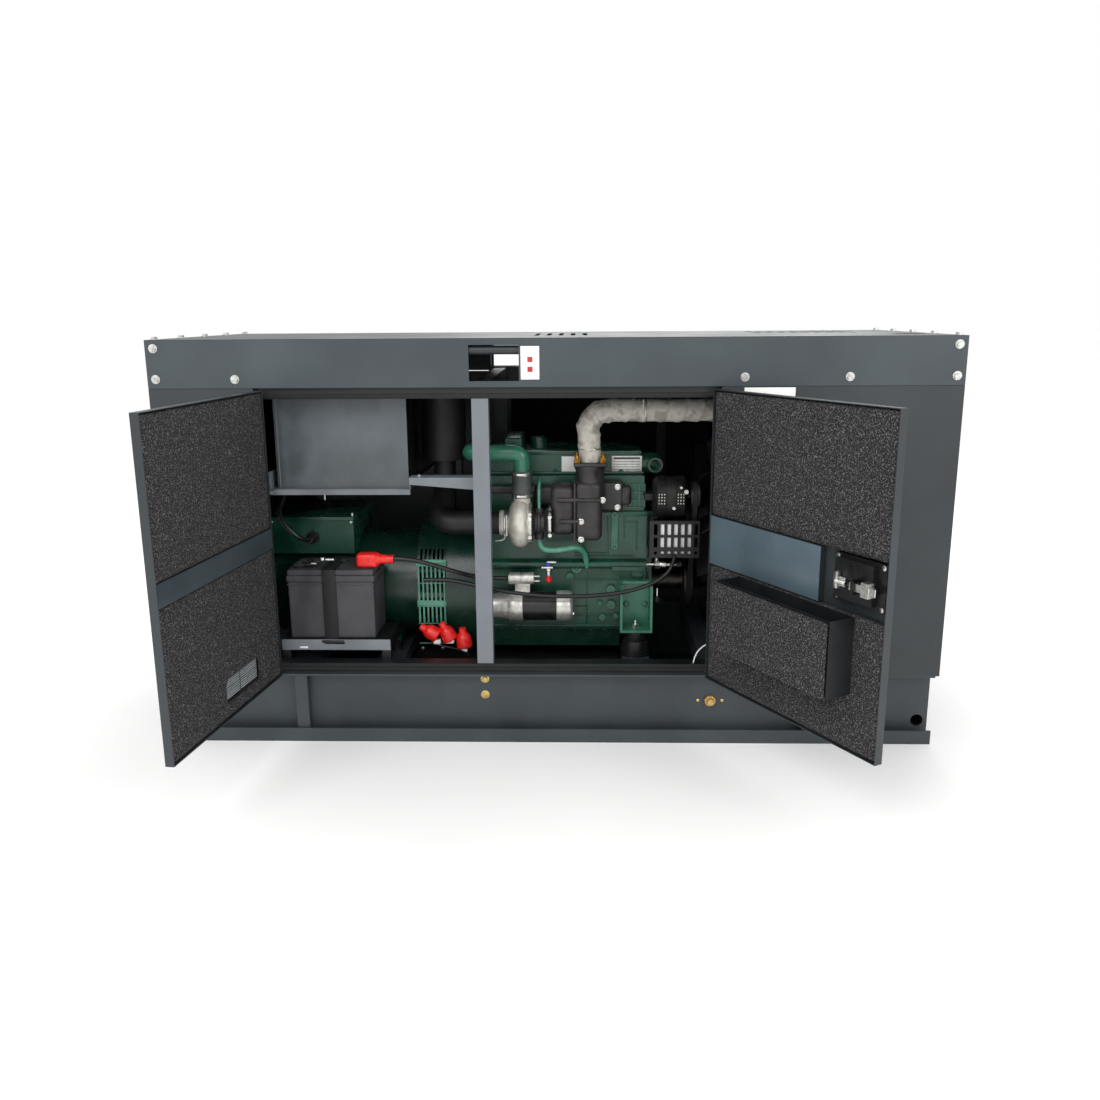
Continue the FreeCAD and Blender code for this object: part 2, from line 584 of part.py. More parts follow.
swung(subpart("latch_housing",
              union(minus(union(latch_cover, recess_box), recess_hollow), guide,
                    rod("z", ("paddle_x", "-paddle_y"), "paddle_pin_r", "recess_low - 1", "recess_high + 1"))),
      "right_hinge", "-hinge_y", "right_open")
swung(subpart("latch_paddle",
              minus(union(block(("paddle_left", "paddle_x + 2"), ("-half_depth", "-half_depth + paddle_thick"),
                                ("paddle_low", "paddle_high")),
                          block(("paddle_x - 4", "paddle_x + 2"), ("-half_depth + 1", "-paddle_y"),
                                ("paddle_low + 6", "paddle_high - 6")),
                          rod("z", ("paddle_x", "-paddle_y"), "barrel_r", "paddle_low + 6", "paddle_high - 6")),
                    rod("z", ("paddle_x", "-paddle_y"), "paddle_pin_r + running_fit", "paddle_low", "paddle_high"))),
      "right_hinge", "-hinge_y", "right_open")
swung(subpart("latch_bolt",
              union(block(("bolt_head_left", "bolt_tail"), ("-bolt_back", "-bolt_front"), ("bolt_low", "bolt_high")),
                    block(("bolt_head_left", "bolt_head_right"), ("-bolt_back - 1", "-bolt_front + 2"),
                          ("bolt_head_low", "bolt_head_high")),
                    pressed("XY_Plane", [("bolt_head_left", "-bolt_front"), ("bolt_tip", "-bolt_front"),
                                         ("bolt_tip", "-bolt_front - 3"), ("bolt_head_left", "-bolt_back")],
                            "bolt_low", "bolt_high"))),
      "right_hinge", "-hinge_y", "right_open")

# ---- rear control door, its window and its quarter-turn latch ----

sizes(control_free=-379, control_low=640, pane_left=-730, pane_right=-490, pane_low=800, pane_high=960)
sizes(pane_lap=15, pane=3, turn_x=-420, turn_z=740, turn_r=7, turn_knob_r=19, turn_knob=10)
sizes(cam_in=378, cam_out=384, cam_half=8, cam_long=40)
subpart("control_door",
        minus(tray(1, "control_hinge + door_edge", "control_free", "control_low"),
              block(("pane_left", "pane_right"), ("half_depth - 10", "half_depth + 1"), ("pane_low", "pane_high")),
              rod("y", ("turn_x", "turn_z"), "turn_r + running_fit", "half_depth - 10", "half_depth + 1")),
        *[door_hinge(1, "control_hinge", 1, z) for z in CONTROL_HINGE_HEIGHTS])
subpart("control_window",
        block(("pane_left - pane_lap", "pane_right + pane_lap"), ("half_depth - skin - pane", "half_depth - skin"),
              ("pane_low - pane_lap", "pane_high + pane_lap")))
subpart("control_latch",
        union(rod("y", ("turn_x", "turn_z"), "turn_knob_r", "half_depth", "half_depth + turn_knob"),
              rod("y", ("turn_x", "turn_z"), "turn_r", "cam_in", "half_depth + 1"),
              block(("turn_x - 4", "turn_x + 4"), ("half_depth + turn_knob", "half_depth + 2 * turn_knob"),
                    ("turn_z - turn_knob_r + 2", "turn_z + turn_knob_r - 2")),
              block(("turn_x - cam_half", "turn_x + cam_half"), ("cam_in", "cam_out"),
                    ("turn_z - cam_long", "turn_z + cam_half"))))

# ---- control cabinet and what is in it ----

sizes(cabinet_left=-799, cabinet_right=-418, cabinet_front=-295, cabinet_back=374, cabinet_low=736)
sizes(cabinet_high=1030, mount_plate_y=335, module_left=-725, module_right=-495, module_low=805, module_high=955)
sizes(module_back=372, bezel=8, breaker_left=-488, breaker_right=-424, breaker_low=825, breaker_high=950)
sizes(breaker_face=366, lever_x=-456, lever_y=352, lever_z=885, lever_half=5, lever_tip=383, lever_slot=22)
subpart("control_cabinet",
        shell(("cabinet_left", "cabinet_right"), ("cabinet_front", "cabinet_back"), ("cabinet_low", "cabinet_high"),
              "skin", ("y+",)),
        block(("cabinet_left + skin", "cabinet_right - skin"), ("mount_plate_y", "mount_plate_y + 3"),
              ("cabinet_low + skin", "cabinet_high - skin")))
subpart("controller",
        union(block(("module_left + bezel", "module_right - bezel"), ("mount_plate_y + 3", "module_back - bezel"),
                    ("module_low + bezel", "module_high - bezel")),
              block(("module_left", "module_right"), ("module_back - bezel", "module_back"),
                    ("module_low", "module_high"))))
subpart("main_breaker",
        minus(block(("breaker_left", "breaker_right"), ("mount_plate_y + 3", "breaker_face"),
                    ("breaker_low", "breaker_high")),
              block(("lever_x - lever_half - 1", "lever_x + lever_half + 1"), ("lever_y - 7", "breaker_face + 1"),
                    ("lever_z - 8", "lever_z + lever_slot"))))
subpart("breaker_lever",
        union(rod("x", ("lever_y", "lever_z"), "lever_half", "lever_x - lever_half", "lever_x + lever_half"),
              block(("lever_x - lever_half", "lever_x + lever_half"), ("lever_y", "lever_tip"),
                    ("lever_z - 4", "lever_z + 4"))))
sizes(stop_head_r=20, stop_head=12, stop_face=433)
subpart("estop_button",
        union(rod("y", ("stop_x", "stop_z"), "stop_stem_r", "half_depth - 15", "stop_face"),
              taper("y", ("stop_x", "stop_z"), "stop_head_r", "stop_head_r - 4", "stop_face", "stop_face + stop_head")))

# Cabinet shelf: a lipped tray across the set, tied to the front post by a tapered arm.
sizes(shelf_left=-818, shelf_right=-412, shelf_front=-315, shelf_back=374, shelf_low=720, shelf_side=786)
sizes(arm_left=-405, arm_right=-182, arm_back=347, arm_top=775, arm_root=755, arm_tip=737, arm_flange=300)
subpart("cabinet_shelf",
        union(block(("shelf_left", "shelf_right"), ("shelf_front", "shelf_back"),
                    ("cabinet_low - skin", "cabinet_low")),
              *[block(("shelf_left", "shelf_right"), y, ("shelf_low", "cabinet_low"))
                for y in (("shelf_front", "shelf_front + skin"), ("shelf_back - skin", "shelf_back"))],
              block(("shelf_left", "shelf_left + skin"), ("shelf_front", "shelf_back"), ("shelf_low", "shelf_side")),
              block(("shelf_left", "shelf_left + 20"), ("-frame_lip", "shelf_front + 1"),
                    ("cabinet_low - 6", "cabinet_low"))),
        union(pressed("XZ_Plane", [("arm_left", "arm_root"), ("arm_right", "arm_tip"), ("arm_right", "arm_top"),
                                   ("arm_left", "arm_top")], "-post_in", "-arm_back"),
              block(("arm_left", "arm_right"), ("-arm_back - 1", "-arm_flange"), ("arm_top - skin", "arm_top"))),
        union(block(("arm_left - 3", "arm_left"), ("-post_in", "-arm_flange"), ("arm_root", "arm_top")),
              block(("shelf_right", "arm_left"), ("-arm_flange - 10", "-arm_flange"), ("arm_root", "arm_root + 3")),
              block(("shelf_right - 3", "shelf_right"), ("-arm_flange - 10", "-arm_flange"),
                    ("cabinet_low", "arm_root + 3"))))

# ---- battery, its tray, strap and terminal boots ----

sizes(battery_left=-779, battery_right=-527, battery_front=-335, battery_back=-175, battery_low=293)
sizes(battery_lid=466, battery_step=484, battery_top=501, lid_lap=3, post_r=9, post_top=517, post_inset=29)
sizes(post_y=-300)
subpart("battery",
        union(rounded(block(("battery_left", "battery_right"), ("battery_front", "battery_back"),
                            ("battery_low", "battery_lid")), "z", "lid_lap"),
              block(("battery_left - lid_lap", "battery_right + lid_lap"),
                    ("battery_front - lid_lap", "battery_back + lid_lap"), ("battery_lid", "battery_step")),
              block(("battery_left", "battery_right"), ("battery_front", "battery_back"),
                    ("battery_step", "battery_top")),
              *[rod("z", (x, "post_y"), "post_r", "battery_top", "post_top") for x in
                ("battery_left + post_inset", "battery_right - post_inset")]))
sizes(rack_left=-805, rack_right=-483, rack_front=-347, rack_back=-170, rack_lip=261, rack_leg=25, rear_leg=15)
sizes(rack_slot_left=-678, rack_slot_right=-618, rack_slot_low=279, rack_slot_high=286)
subpart("battery_tray",
        union(minus(shell(("rack_left", "rack_right"), ("rack_front", "rack_back"), ("rack_lip", "battery_low"),
                          "skin", ("z-",)),
                    block(("rack_slot_left", "rack_slot_right"), ("rack_front - 1", "rack_front + skin + 1"),
                          ("rack_slot_low", "rack_slot_high"))),
              *[block((x, "%s + rack_leg" % x), ("rack_front", "rack_front + rack_leg"),
                      ("base_top", "battery_low - 1")) for x in ("rack_left", "rack_right - rack_leg")],
              *[block((x, "%s + rear_leg" % x), ("rack_back - rack_leg", "rack_back"),
                      ("base_top - plate", "battery_low - 1"))
                for x in ("bearer_rear - bearer_half", "bearer_middle - bearer_half")]))
sizes(strap_left=-677, strap_right=-637, strap=3)
subpart("battery_strap",
        union(*[block(("strap_left", "strap_right"), y, z) for y, z in (
            (("battery_front - lid_lap - strap", "battery_front - lid_lap"), ("battery_low", "battery_top + strap")),
            (("battery_front - lid_lap - strap", "battery_back + lid_lap"), ("battery_top", "battery_top + strap")),
            (("battery_back + lid_lap", "battery_back + lid_lap + 1.8"), ("battery_low", "battery_top + strap")))]))
sizes(boot_left=-580, boot_right=-500, boot_front=-322, boot_back=-278, boot_low=502, boot_high=545)
sizes(boot_nose=-474, boot_nose_r=11, boot_z=528, spare_boot_r=19, spare_boot_y=-245)
spare_boots = [(-398, 276, -350), (-345, 262, -300), (-290, 246, -246)]
subpart("terminal_boots",
        minus(union(rounded(block(("boot_left", "boot_right"), ("boot_front", "boot_back"),
                                  ("boot_low", "boot_high")), "z", 12),
                    taper("x", ("post_y", "boot_z"), 14, "boot_nose_r", "boot_right - 4", "boot_nose")),
              rod("z", ("battery_right - post_inset", "post_y"), "post_r + 0.3", "battery_top", "post_top + 0.3")),
        *[taper("x", ("spare_boot_y", height), "spare_boot_r", "spare_boot_r - 4", left + 2, right - 2)
          for left, height, right in spare_boots])

# ---- engine: crankcase, head, covers, sump and housings ----

sizes(crank_z=385, block_left=-240, block_right=278, block_half=160, deck=640, crankcase_low=274)
sizes(case_wall=14, bore_r=48, liner_r=56, bore_first=-166, bore_pitch=110, jacket_low=486, case_roof=470)
sizes(journal_r=30, cover_right=298, cover_half=120, cover_low=290, cover_high=632, piston=60)
BORES = ["bore_first + %d * bore_pitch" % place for place in range(4)]
crank_bore = rod("x", (0, "crank_z"), "journal_r + running_fit", "block_left - 1", "cover_right + 1")
crankcase = minus(
    block(("block_left", "block_right"), ("-block_half", "block_half"), ("crankcase_low", "deck")),
    block(("block_left + case_wall", "block_right - case_wall"), ("-block_half + case_wall", "block_half - case_wall"),
          ("crankcase_low - 1", "case_roof")),
    minus(block(("block_left + case_wall", "block_right - case_wall"),
                ("-block_half + case_wall", "block_half - case_wall"), ("jacket_low", "deck - case_wall")),
          *[rod("z", (x, 0), "liner_r", "jacket_low - 1", "deck") for x in BORES]),
    *[rod("z", (x, 0), "bore_r", "case_roof - 1", "deck + 1") for x in BORES],
    crank_bore)
sizes(pump_z=600, pump_shaft_r=12, pump_boss_r=30, pump_boss=320, gallery_r=13, gallery_z=478)
timing_cover = minus(
    union(block(("block_right", "cover_right"), ("-cover_half", "cover_half"), ("cover_low", "cover_high")),
          rod("x", (0, "pump_z"), "pump_boss_r", "block_right", "pump_boss")),
    rod("x", (0, "crank_z"), "journal_r + running_fit", "block_right - 1", "cover_right + 1"),
    rod("x", (0, "pump_z"), "pump_shaft_r + running_fit", "block_right + 2", "pump_boss + 1"))
subpart("engine_block", crankcase, timing_cover,
        rod("x", ("-block_half - gallery_r", "gallery_z"), "gallery_r", "block_left + 40", "block_right"),
        *[rod("z", (x, 0), "bore_r - 0.1", "deck - 20 - piston", "deck - 20") for x in BORES])

sizes(head_left=-225, head_right=270, head_half=150, head_top=747, head_wall=12, intake_out=195)
sizes(intake_low=665, intake_high=715)
subpart("cylinder_head",
        shell(("head_left", "head_right"), ("-head_half", "head_half"), ("deck", "head_top"), "head_wall"),
        shell(("head_left - 55", "head_right - 20"), ("head_half", "intake_out"), ("intake_low", "intake_high"), 4))
sizes(rocker_left=-213, rocker_right=266, rocker_half=118, rocker_top=816, rocker_wall=4, rocker_round=14)
sizes(filler_x=-52, filler_r=24, filler_top=848)
rocker_box = rounded(rounded(block(("rocker_left", "rocker_right"), ("-rocker_half", "rocker_half"),
                                   ("head_top", "rocker_top")), "z", "rocker_round"), "x", "rocker_wall")
subpart("rocker_cover",
        union(minus(rocker_box, block(("rocker_left + rocker_wall", "rocker_right - rocker_wall"),
                                      ("-rocker_half + rocker_wall", "rocker_half - rocker_wall"),
                                      ("head_top - 1", "rocker_top - rocker_wall"))),
              taper("z", ("filler_x", 0), "filler_r + 6", "filler_r", "rocker_top - 1", "filler_top")))
sizes(sump_left=-228, sump_right=200, sump_half=140, sump_low=207, sump_flange=6)
subpart("oil_pan",
        union(shell(("sump_left", "sump_right"), ("-sump_half", "sump_half"), ("sump_low", "crankcase_low - 1"), 3,
                    ("z+",)),
              minus(block(("block_left", "block_right"), ("-block_half", "block_half"),
                          ("crankcase_low - sump_flange", "crankcase_low")),
                    block(("sump_left + 3", "sump_right - 3"), ("-sump_half + 3", "sump_half - 3"),
                          ("sump_low", "crankcase_low + 1")))))
sizes(bell_left=-332, bell_r=215, bell_inner=196, bell_wall=8, bell_hole=60)
subpart("flywheel_housing",
        turned([("bell_left", "bell_inner"), ("bell_left", "bell_r"), ("block_left", "bell_r"),
                ("block_left", "bell_hole"), ("block_left - bell_wall", "bell_hole"),
                ("block_left - bell_wall", "bell_inner")], 0, "crank_z"))

# Crankshaft with its flywheel and the belt pulley on its nose.
sizes(web_r=78, web_low=12, web_high=26, throw=42, crankpin_r=25, flywheel_left=-300, flywheel_right=-262)
sizes(flywheel_r=172, belt_x=418, pulley_half=13, groove_half=7.6, crank_pulley_r=80, lip=8, belt=9)
sizes(seat_r=24)
crank_webs = [rod("x", (0, "crank_z"), "web_r", "%s + %s" % (x, low), "%s + %s" % (x, high)) for x in BORES
              for low, high in (("-web_high", "-web_low"), ("web_low", "web_high"))]
crank_pins = [rod("x", (0, "crank_z + %d * throw" % way), "crankpin_r", "%s - web_high" % x, "%s + web_high" % x)
              for x, way in zip(BORES, (1, -1, -1, 1))]


def pulley(radius, axis_y, axis_z, bore):
    """A grooved pulley at the belt's plane, turned about the axis given."""
    return turned([("belt_x - pulley_half", bore), ("belt_x - pulley_half", "%s + lip" % radius),
                   ("belt_x - groove_half", "%s + lip" % radius), ("belt_x - groove_half", radius),
                   ("belt_x + groove_half", radius), ("belt_x + groove_half", "%s + lip" % radius),
                   ("belt_x + pulley_half", "%s + lip" % radius), ("belt_x + pulley_half", bore)], axis_y, axis_z)


subpart("crankshaft",
        union(rod("x", (0, "crank_z"), "journal_r", "flywheel_right", "belt_x - pulley_half - 1"),
              rod("x", (0, "crank_z"), "seat_r", "belt_x - pulley_half - 2", "belt_x + pulley_half + 1"),
              *crank_webs, *crank_pins),
        rod("x", (0, "crank_z"), "flywheel_r", "flywheel_left", "flywheel_right"),
        pulley("crank_pulley_r", 0, "crank_z", "seat_r"))

# Cooling fan on the water-pump shaft, with its pulley.
sizes(fan_pulley_r=60, fan_left=446, fan_right=476, fan_hub_r=58, blade_tip=222, blade_half=28, blade_thick=3)
sizes(blade_root=6, blade_pitch=32)
BLADES = 8


def fan_blade(place):
    """One pitched blade: a flat plate that stands on the hub, turned to its place round the shaft."""
    blade = DOC.addObject("Part::Compound", "Blade")
    blade.Links = [block(("-blade_half", "blade_half"), ("-blade_thick / 2", "blade_thick / 2"),
                         ("fan_hub_r - blade_root", "blade_tip"))]
    centre = Vector(number("(fan_left + fan_right) / 2"), 0, number("pump_z"))
    turn = Rotation(Vector(1, 0, 0), 360 * place / BLADES)
    blade.Placement = Placement(centre, turn.multiply(Rotation(Vector(0, 0, 1), number("blade_pitch"))))
    return blade


subpart("cooling_fan",
        union(rod("x", (0, "pump_z"), "pump_shaft_r", "block_right + 4", "fan_right + 4"),
              pulley("fan_pulley_r", 0, "pump_z", "pump_shaft_r - 1"),
              rod("x", (0, "pump_z"), "fan_hub_r", "fan_left", "fan_right"),
              *[fan_blade(place) for place in range(BLADES)]))

# Charging alternator, bracketed to the head, with its own pulley.
sizes(charger_y=-175, charger_z=690, charger_r=60, charger_left=292, charger_right=398, charger_shaft_r=8)
sizes(charger_pulley_r=34)
subpart("charging_alternator",
        minus(union(rod("x", ("charger_y", "charger_z"), "charger_r", "charger_left", "charger_right"),
                    block(("head_right", "charger_left + 12"), ("charger_y - 20", "-head_half + 60"),
                          ("charger_z - 10", "charger_z + 10"))),
              rod("x", ("charger_y", "charger_z"), "charger_shaft_r + running_fit", "charger_right - 40",
                  "charger_right + 1")))
subpart("alternator_pulley",
        union(rod("x", ("charger_y", "charger_z"), "charger_shaft_r", "charger_right - 38", "belt_x + pulley_half + 3"),
              pulley("charger_pulley_r", "charger_y", "charger_z", "charger_shaft_r - 1")))


def belt_loop():
    """The belt's path round the three pulleys: outer tangents joined by arcs, at two offsets."""
    wheels = [(0, number("crank_z"), number("crank_pulley_r")), (0, number("pump_z"), number("fan_pulley_r")),
              (number("charger_y"), number("charger_z"), number("charger_pulley_r"))]
    clearance = 0.3
    outlines = []
    for extra in (clearance + number("belt"), clearance):
        edges = []
        arrivals = {}
        departures = {}
        for place, (y, z, r) in enumerate(wheels):
            y_next, z_next, r_next = wheels[(place + 1) % len(wheels)]
            distance = math.hypot(y_next - y, z_next - z)
            heading = math.atan2(z_next - z, y_next - y)
            outward = heading - math.acos((r - r_next) / distance)
            departures[place] = outward
            arrivals[(place + 1) % len(wheels)] = outward
        x = number("belt_x - groove_half + 0.6")
        for place, (y, z, r) in enumerate(wheels):
            start, end = arrivals[place], departures[place]
            while end < start:
                end += 2 * math.pi
            spots = [Vector(x, y + (r + extra) * math.cos(angle), z + (r + extra) * math.sin(angle))
                     for angle in (start, (start + end) / 2, end)]
            edges.append(Part.Arc(*spots).toShape())
        lines = [Part.LineSegment(edge.Vertexes[-1].Point, after.Vertexes[0].Point).toShape()
                 for edge, after in zip(edges, edges[1:] + edges[:1])]
        ring = [piece for pair in zip(edges, lines) for piece in pair]
        outlines.append(Part.Face(Part.Wire(ring)))
    along = Vector(number("2 * groove_half - 1.2"), 0, 0)
    return outlines[0].cut(outlines[1]).extrude(along)


computed("fan_belt", belt_loop())

# ---- what hangs on the engine ----

# Turbocharger: compressor cover, bearing housing and inlet neck on one axis, with the outlet on top.
sizes(turbo_y=-236, turbo_z=622, compressor_left=-129, compressor_right=-69, compressor_r=74, bearing_r=40)
sizes(turbine_left=-12, inlet_left=-162, inlet_r=36, outlet_x=-95, outlet_r=25, outlet_top=706)
subpart("turbocharger",
        union(rod("x", ("turbo_y", "turbo_z"), "compressor_r - 12", "compressor_left", "compressor_right"),
              rod("x", ("turbo_y", "turbo_z"), "compressor_r", "compressor_left + 12", "compressor_right - 14"),
              rod("z", ("outlet_x", "turbo_y"), "outlet_r", "turbo_z + 40", "outlet_top"),
              rod("x", ("turbo_y", "turbo_z"), "inlet_r", "inlet_left", "compressor_left + 1"),
              rod("x", ("turbo_y", "turbo_z"), "bearing_r", "compressor_right - 1", "turbine_left")))
sizes(manifold_right=141, manifold_front=-255, manifold_low=565, manifold_high=745, neck_centre=105)
sizes(neck_radius=42, flange_low=788, flange_high=800, flange_half_x=48, flange_half_y=46, ear_right=205)
sizes(ear_low=645, ear_high=735, log_out=188, log_low=662, log_high=722)
manifold_body = rounded(block(("turbine_left", "manifold_right"), ("manifold_front", "-block_half"),
                              ("manifold_low", "manifold_high")), "y", 24)
subpart("exhaust_manifold",
        union(manifold_body,
              rod("z", ("neck_centre", "muffler_y"), "neck_radius", "manifold_high - 40", "flange_low + 1"),
              block(("neck_centre - flange_half_x", "neck_centre + flange_half_x"),
                    ("muffler_y - flange_half_y", "muffler_y + flange_half_y"), ("flange_low", "flange_high")),
              block(("manifold_right - 30", "ear_right"), ("-block_half - 28", "-block_half"), ("ear_low", "ear_high")),
              block(("compressor_right + 8", "head_right - 40"), ("-log_out", "-head_half"), ("log_low", "log_high")),
              block(("head_left + 30", "compressor_right + 9"), ("-log_out + 10", "-head_half"),
                    ("log_high - 24", "log_high"))))

# Exhaust pipe: lagged, up from the flange, round an elbow and along to the muffler.
sizes(lagging_r=36, exhaust_z=950, elbow_r=88, muffler_left=660)


def exhaust_run():
    radius = number("elbow_r")
    x, y, z = number("neck_centre"), number("muffler_y"), number("exhaust_z")
    foot = Vector(x, y, number("flange_high"))
    rise = Vector(x, y, z - radius)
    middle = Vector(x + radius * (1 - math.cos(math.pi / 4)), y, z - radius + radius * math.sin(math.pi / 4))
    turn = Vector(x + radius, y, z)
    path = Part.Wire([Part.LineSegment(foot, rise).toShape(), Part.Arc(rise, middle, turn).toShape(),
                      Part.LineSegment(turn, Vector(number("muffler_left"), y, z)).toShape()])
    section = Part.Wire(Part.Circle(foot, Vector(0, 0, 1), number("lagging_r")).toShape())
    return path.makePipeShell([section], True, False)


computed("exhaust_pipe", exhaust_run())
sizes(muffler_right=1056, muffler_r=98, muffler_wall=2, tail_r=36, tail_top=1156)
muffler_can = minus(union(rod("x", ("muffler_y", "exhaust_z"), "muffler_r", "muffler_left", "muffler_right"),
                          rod("z", ("tail_x", "muffler_y"), "tail_r", "exhaust_z + 60", "tail_top")),
                    rod("x", ("muffler_y", "exhaust_z"), "muffler_r - muffler_wall", "muffler_left + muffler_wall",
                        "muffler_right - muffler_wall"),
                    rod("z", ("tail_x", "muffler_y"), "tail_r - muffler_wall", "exhaust_z", "tail_top + 1"))
subpart("muffler", muffler_can)

# Radiator with its tanks, and the fan shroud with the belt guard.
sizes(core_left=562, core_right=602, core_half=280, core_low=360, core_high=850, water_high=905, water_low=305)
sizes(water_right=612, radiator_leg=20)
subpart("radiator",
        block(("core_left", "core_right"), ("-core_half", "core_half"), ("core_low", "core_high")),
        *[shell(("core_left", "water_right"), ("-core_half - 5", "core_half + 5"), z, 2)
          for z in (("water_low", "core_low"), ("core_high", "water_high"))],
        *[block(("core_left + 8", "core_left + 8 + radiator_leg"), y, ("base_top - plate", "water_low"))
          for y in (("-core_half", "-core_half + radiator_leg"), ("core_half - radiator_leg", "core_half"))])
sizes(shroud_ring_left=466, shroud_left=516, shroud_half=285, shroud_low=312, shroud_high=890, ring_r=236)
sizes(guard_left=284, guard_right=432, guard_low=509, guard_high=622, guard_y=-216, guard_back=-150)
shroud_box = shell(("shroud_left", "core_left"), ("-shroud_half", "shroud_half"), ("shroud_low", "shroud_high"), 2,
                   ("x+",))
shroud = minus(union(shroud_box, rod("x", (0, "pump_z"), "ring_r", "shroud_ring_left", "shroud_left + 1")),
               rod("x", (0, "pump_z"), "ring_r - 2.5", "shroud_ring_left - 1", "shroud_left + 3"))
guard_slots = [block(("guard_left + 12 + %d * 20" % place, "guard_left + 23 + %d * 20" % place),
                     ("guard_y - 1", "guard_y + 4"), z)
               for place in range(7) for z in (("guard_low + 32", "guard_low + 62"), ("guard_low + 70", "guard_high - 10"))]
guard_holes = [rod("y", ("guard_left + 18 + %d * 20" % place, "guard_low + 15"), 5, "guard_y - 1", "guard_y + 4")
               for place in range(7)]
guard = minus(union(block(("guard_left", "guard_right"), ("guard_y", "guard_y + 3"), ("guard_low", "guard_high")),
                    block(("guard_left", "guard_left + 3"), ("guard_y", "guard_back"), ("guard_low", "guard_high")),
                    block(("guard_left", "cover_right"), ("guard_back - 8", "guard_back"),
                          ("guard_low", "guard_high")),
                    block(("guard_left", "cover_right"), ("guard_back - 1", "-cover_half"),
                          ("guard_low + 20", "guard_low + 40"))),
              *guard_slots, *guard_holes)
subpart("fan_shroud", shroud, guard)

# Charge pipe: a rubber sleeve up from the compressor and a painted pipe over to the intake.
sizes(charge_wall=3, charge_r=26, charge_high=829, charge_across=-246, charge_down_y=172)


def bent_tube(points, radius, bend):
    """A tube with equal bends, for pipes that are formed on one tool."""
    points = [Vector(*point) for point in points]
    edges = []
    start = points[0]
    for before, corner, after in zip(points, points[1:], points[2:]):
        entering = (corner - before).normalize()
        leaving = (after - corner).normalize()
        half_turn = entering.getAngle(leaving) / 2
        reach = bend * math.tan(half_turn)
        inward = (leaving - entering).normalize()
        first = corner - entering * reach
        last = corner + leaving * reach
        middle = corner + inward * (bend / math.cos(half_turn) - bend)
        edges += [Part.LineSegment(start, first).toShape(), Part.Arc(first, middle, last).toShape()]
        start = last
    edges.append(Part.LineSegment(start, points[-1]).toShape())
    section = Part.Wire(Part.Circle(points[0], points[1] - points[0], radius).toShape())
    return Part.Wire(edges).makePipeShell([section], True, False)


charge_route = [(number("outlet_x"), number("turbo_y"), number("outlet_top")),
                (number("outlet_x"), number("turbo_y"), number("charge_high")),
                (number("charge_across"), number("turbo_y"), number("charge_high")),
                (number("charge_across"), number("charge_down_y"), number("charge_high")),
                (number("charge_across"), number("charge_down_y"), number("intake_high"))]
computed("charge_pipe", bent_tube(charge_route, number("charge_r"), 60).cut(
    bent_tube(charge_route, number("charge_r - charge_wall"), 60)))

# Air cleaner: an upright canister, with a hose down and round to the compressor's inlet.
sizes(cleaner_x=-344, cleaner_y=-60, cleaner_r=68, cleaner_low=790, cleaner_high=1080, hose_r=34, hose_low=700)
canister = DOC.addObject("Part::Feature", "Hose")
canister.Shape = bent_tube([(number("cleaner_x"), number("cleaner_y"), number("cleaner_low")),
                            (number("cleaner_x"), number("cleaner_y"), number("hose_low")),
                            (number("cleaner_x"), number("turbo_y"), number("turbo_z")),
                            (number("inlet_left"), number("turbo_y"), number("turbo_z"))], number("hose_r"), 50)
subpart("air_cleaner",
        minus(rod("z", ("cleaner_x", "cleaner_y"), "cleaner_r", "cleaner_low", "cleaner_high"),
              rod("z", ("cleaner_x", "cleaner_y"), "cleaner_r - 3", "cleaner_low + 3", "cleaner_high - 3")),
        canister)

# Starter: the motor, its drive nose and the solenoid above it.
sizes(starter_y=-210, starter_z=358, starter_r=45, starter_left=-142, starter_right=53, nose_left=-240)
sizes(solenoid_y=-218, solenoid_z=446, solenoid_r=19, solenoid_left=-141, solenoid_right=-55)
subpart("starter_motor",
        union(rod("x", ("starter_y", "starter_z"), "starter_r", "starter_left", "starter_right"),
              taper("x", ("starter_y", "starter_z"), 30, "starter_r - 3", "nose_left", "starter_left + 1")),
        union(rod("x", ("solenoid_y", "solenoid_z"), "solenoid_r", "solenoid_left", "solenoid_right"),
              block(("solenoid_left + 20", "solenoid_right - 20"), ("solenoid_y - 8", "solenoid_y + 8"),
                    ("starter_z + starter_r + 0.2", "solenoid_z"))))

# Mounts: brackets on the block and feet under the alternator, each on a rubber block.
sizes(bracket_left=197, bracket_right=294, bracket_low=282, bracket_high=429, bracket_out=245, bracket_wall=7)
sizes(mount_y=207, rubber_r=34, pedestal_r=46, rubber_low=250)


def engine_mount(side):
    plate_y = mirrored(side, "block_half", "block_half + bracket_wall")
    wing_y = mirrored(side, "block_half", "bracket_out")
    bracket = union(block(("bracket_left", "bracket_right"), plate_y, ("bracket_low", "bracket_high")),
                    block(("bracket_left", "bracket_right"), wing_y, ("bracket_low", "bracket_low + bracket_wall")),
                    block(("bracket_left", "bracket_right"), mirrored(side, "block_half", "block_half + 30"),
                          ("bracket_high - bracket_wall", "bracket_high")),
                    *[block(x, wing_y, ("bracket_low", "bracket_high")) for x in
                      (("bracket_left", "bracket_left + bracket_wall"),
                       ("bracket_right - bracket_wall", "bracket_right"))])
    centre = ("bearer_engine", "%d * mount_y" % side)
    return [bracket, rod("z", centre, "rubber_r", "rubber_low", "bracket_low"),
            taper("z", centre, "pedestal_r", "rubber_r + 4", "base_top - plate", "rubber_low")]


sizes(foot_y=168, foot_low=240, foot_rubber_r=20, foot_half=22)
subpart("engine_mounts", *engine_mount(-1), *engine_mount(1),
        *[rod("z", (x, "%d * foot_y" % side), "foot_rubber_r", "base_top - plate", "foot_low")
          for x in ("bearer_rear", "bearer_middle") for side in SIDES])

# ---- alternator that makes the mains supply ----

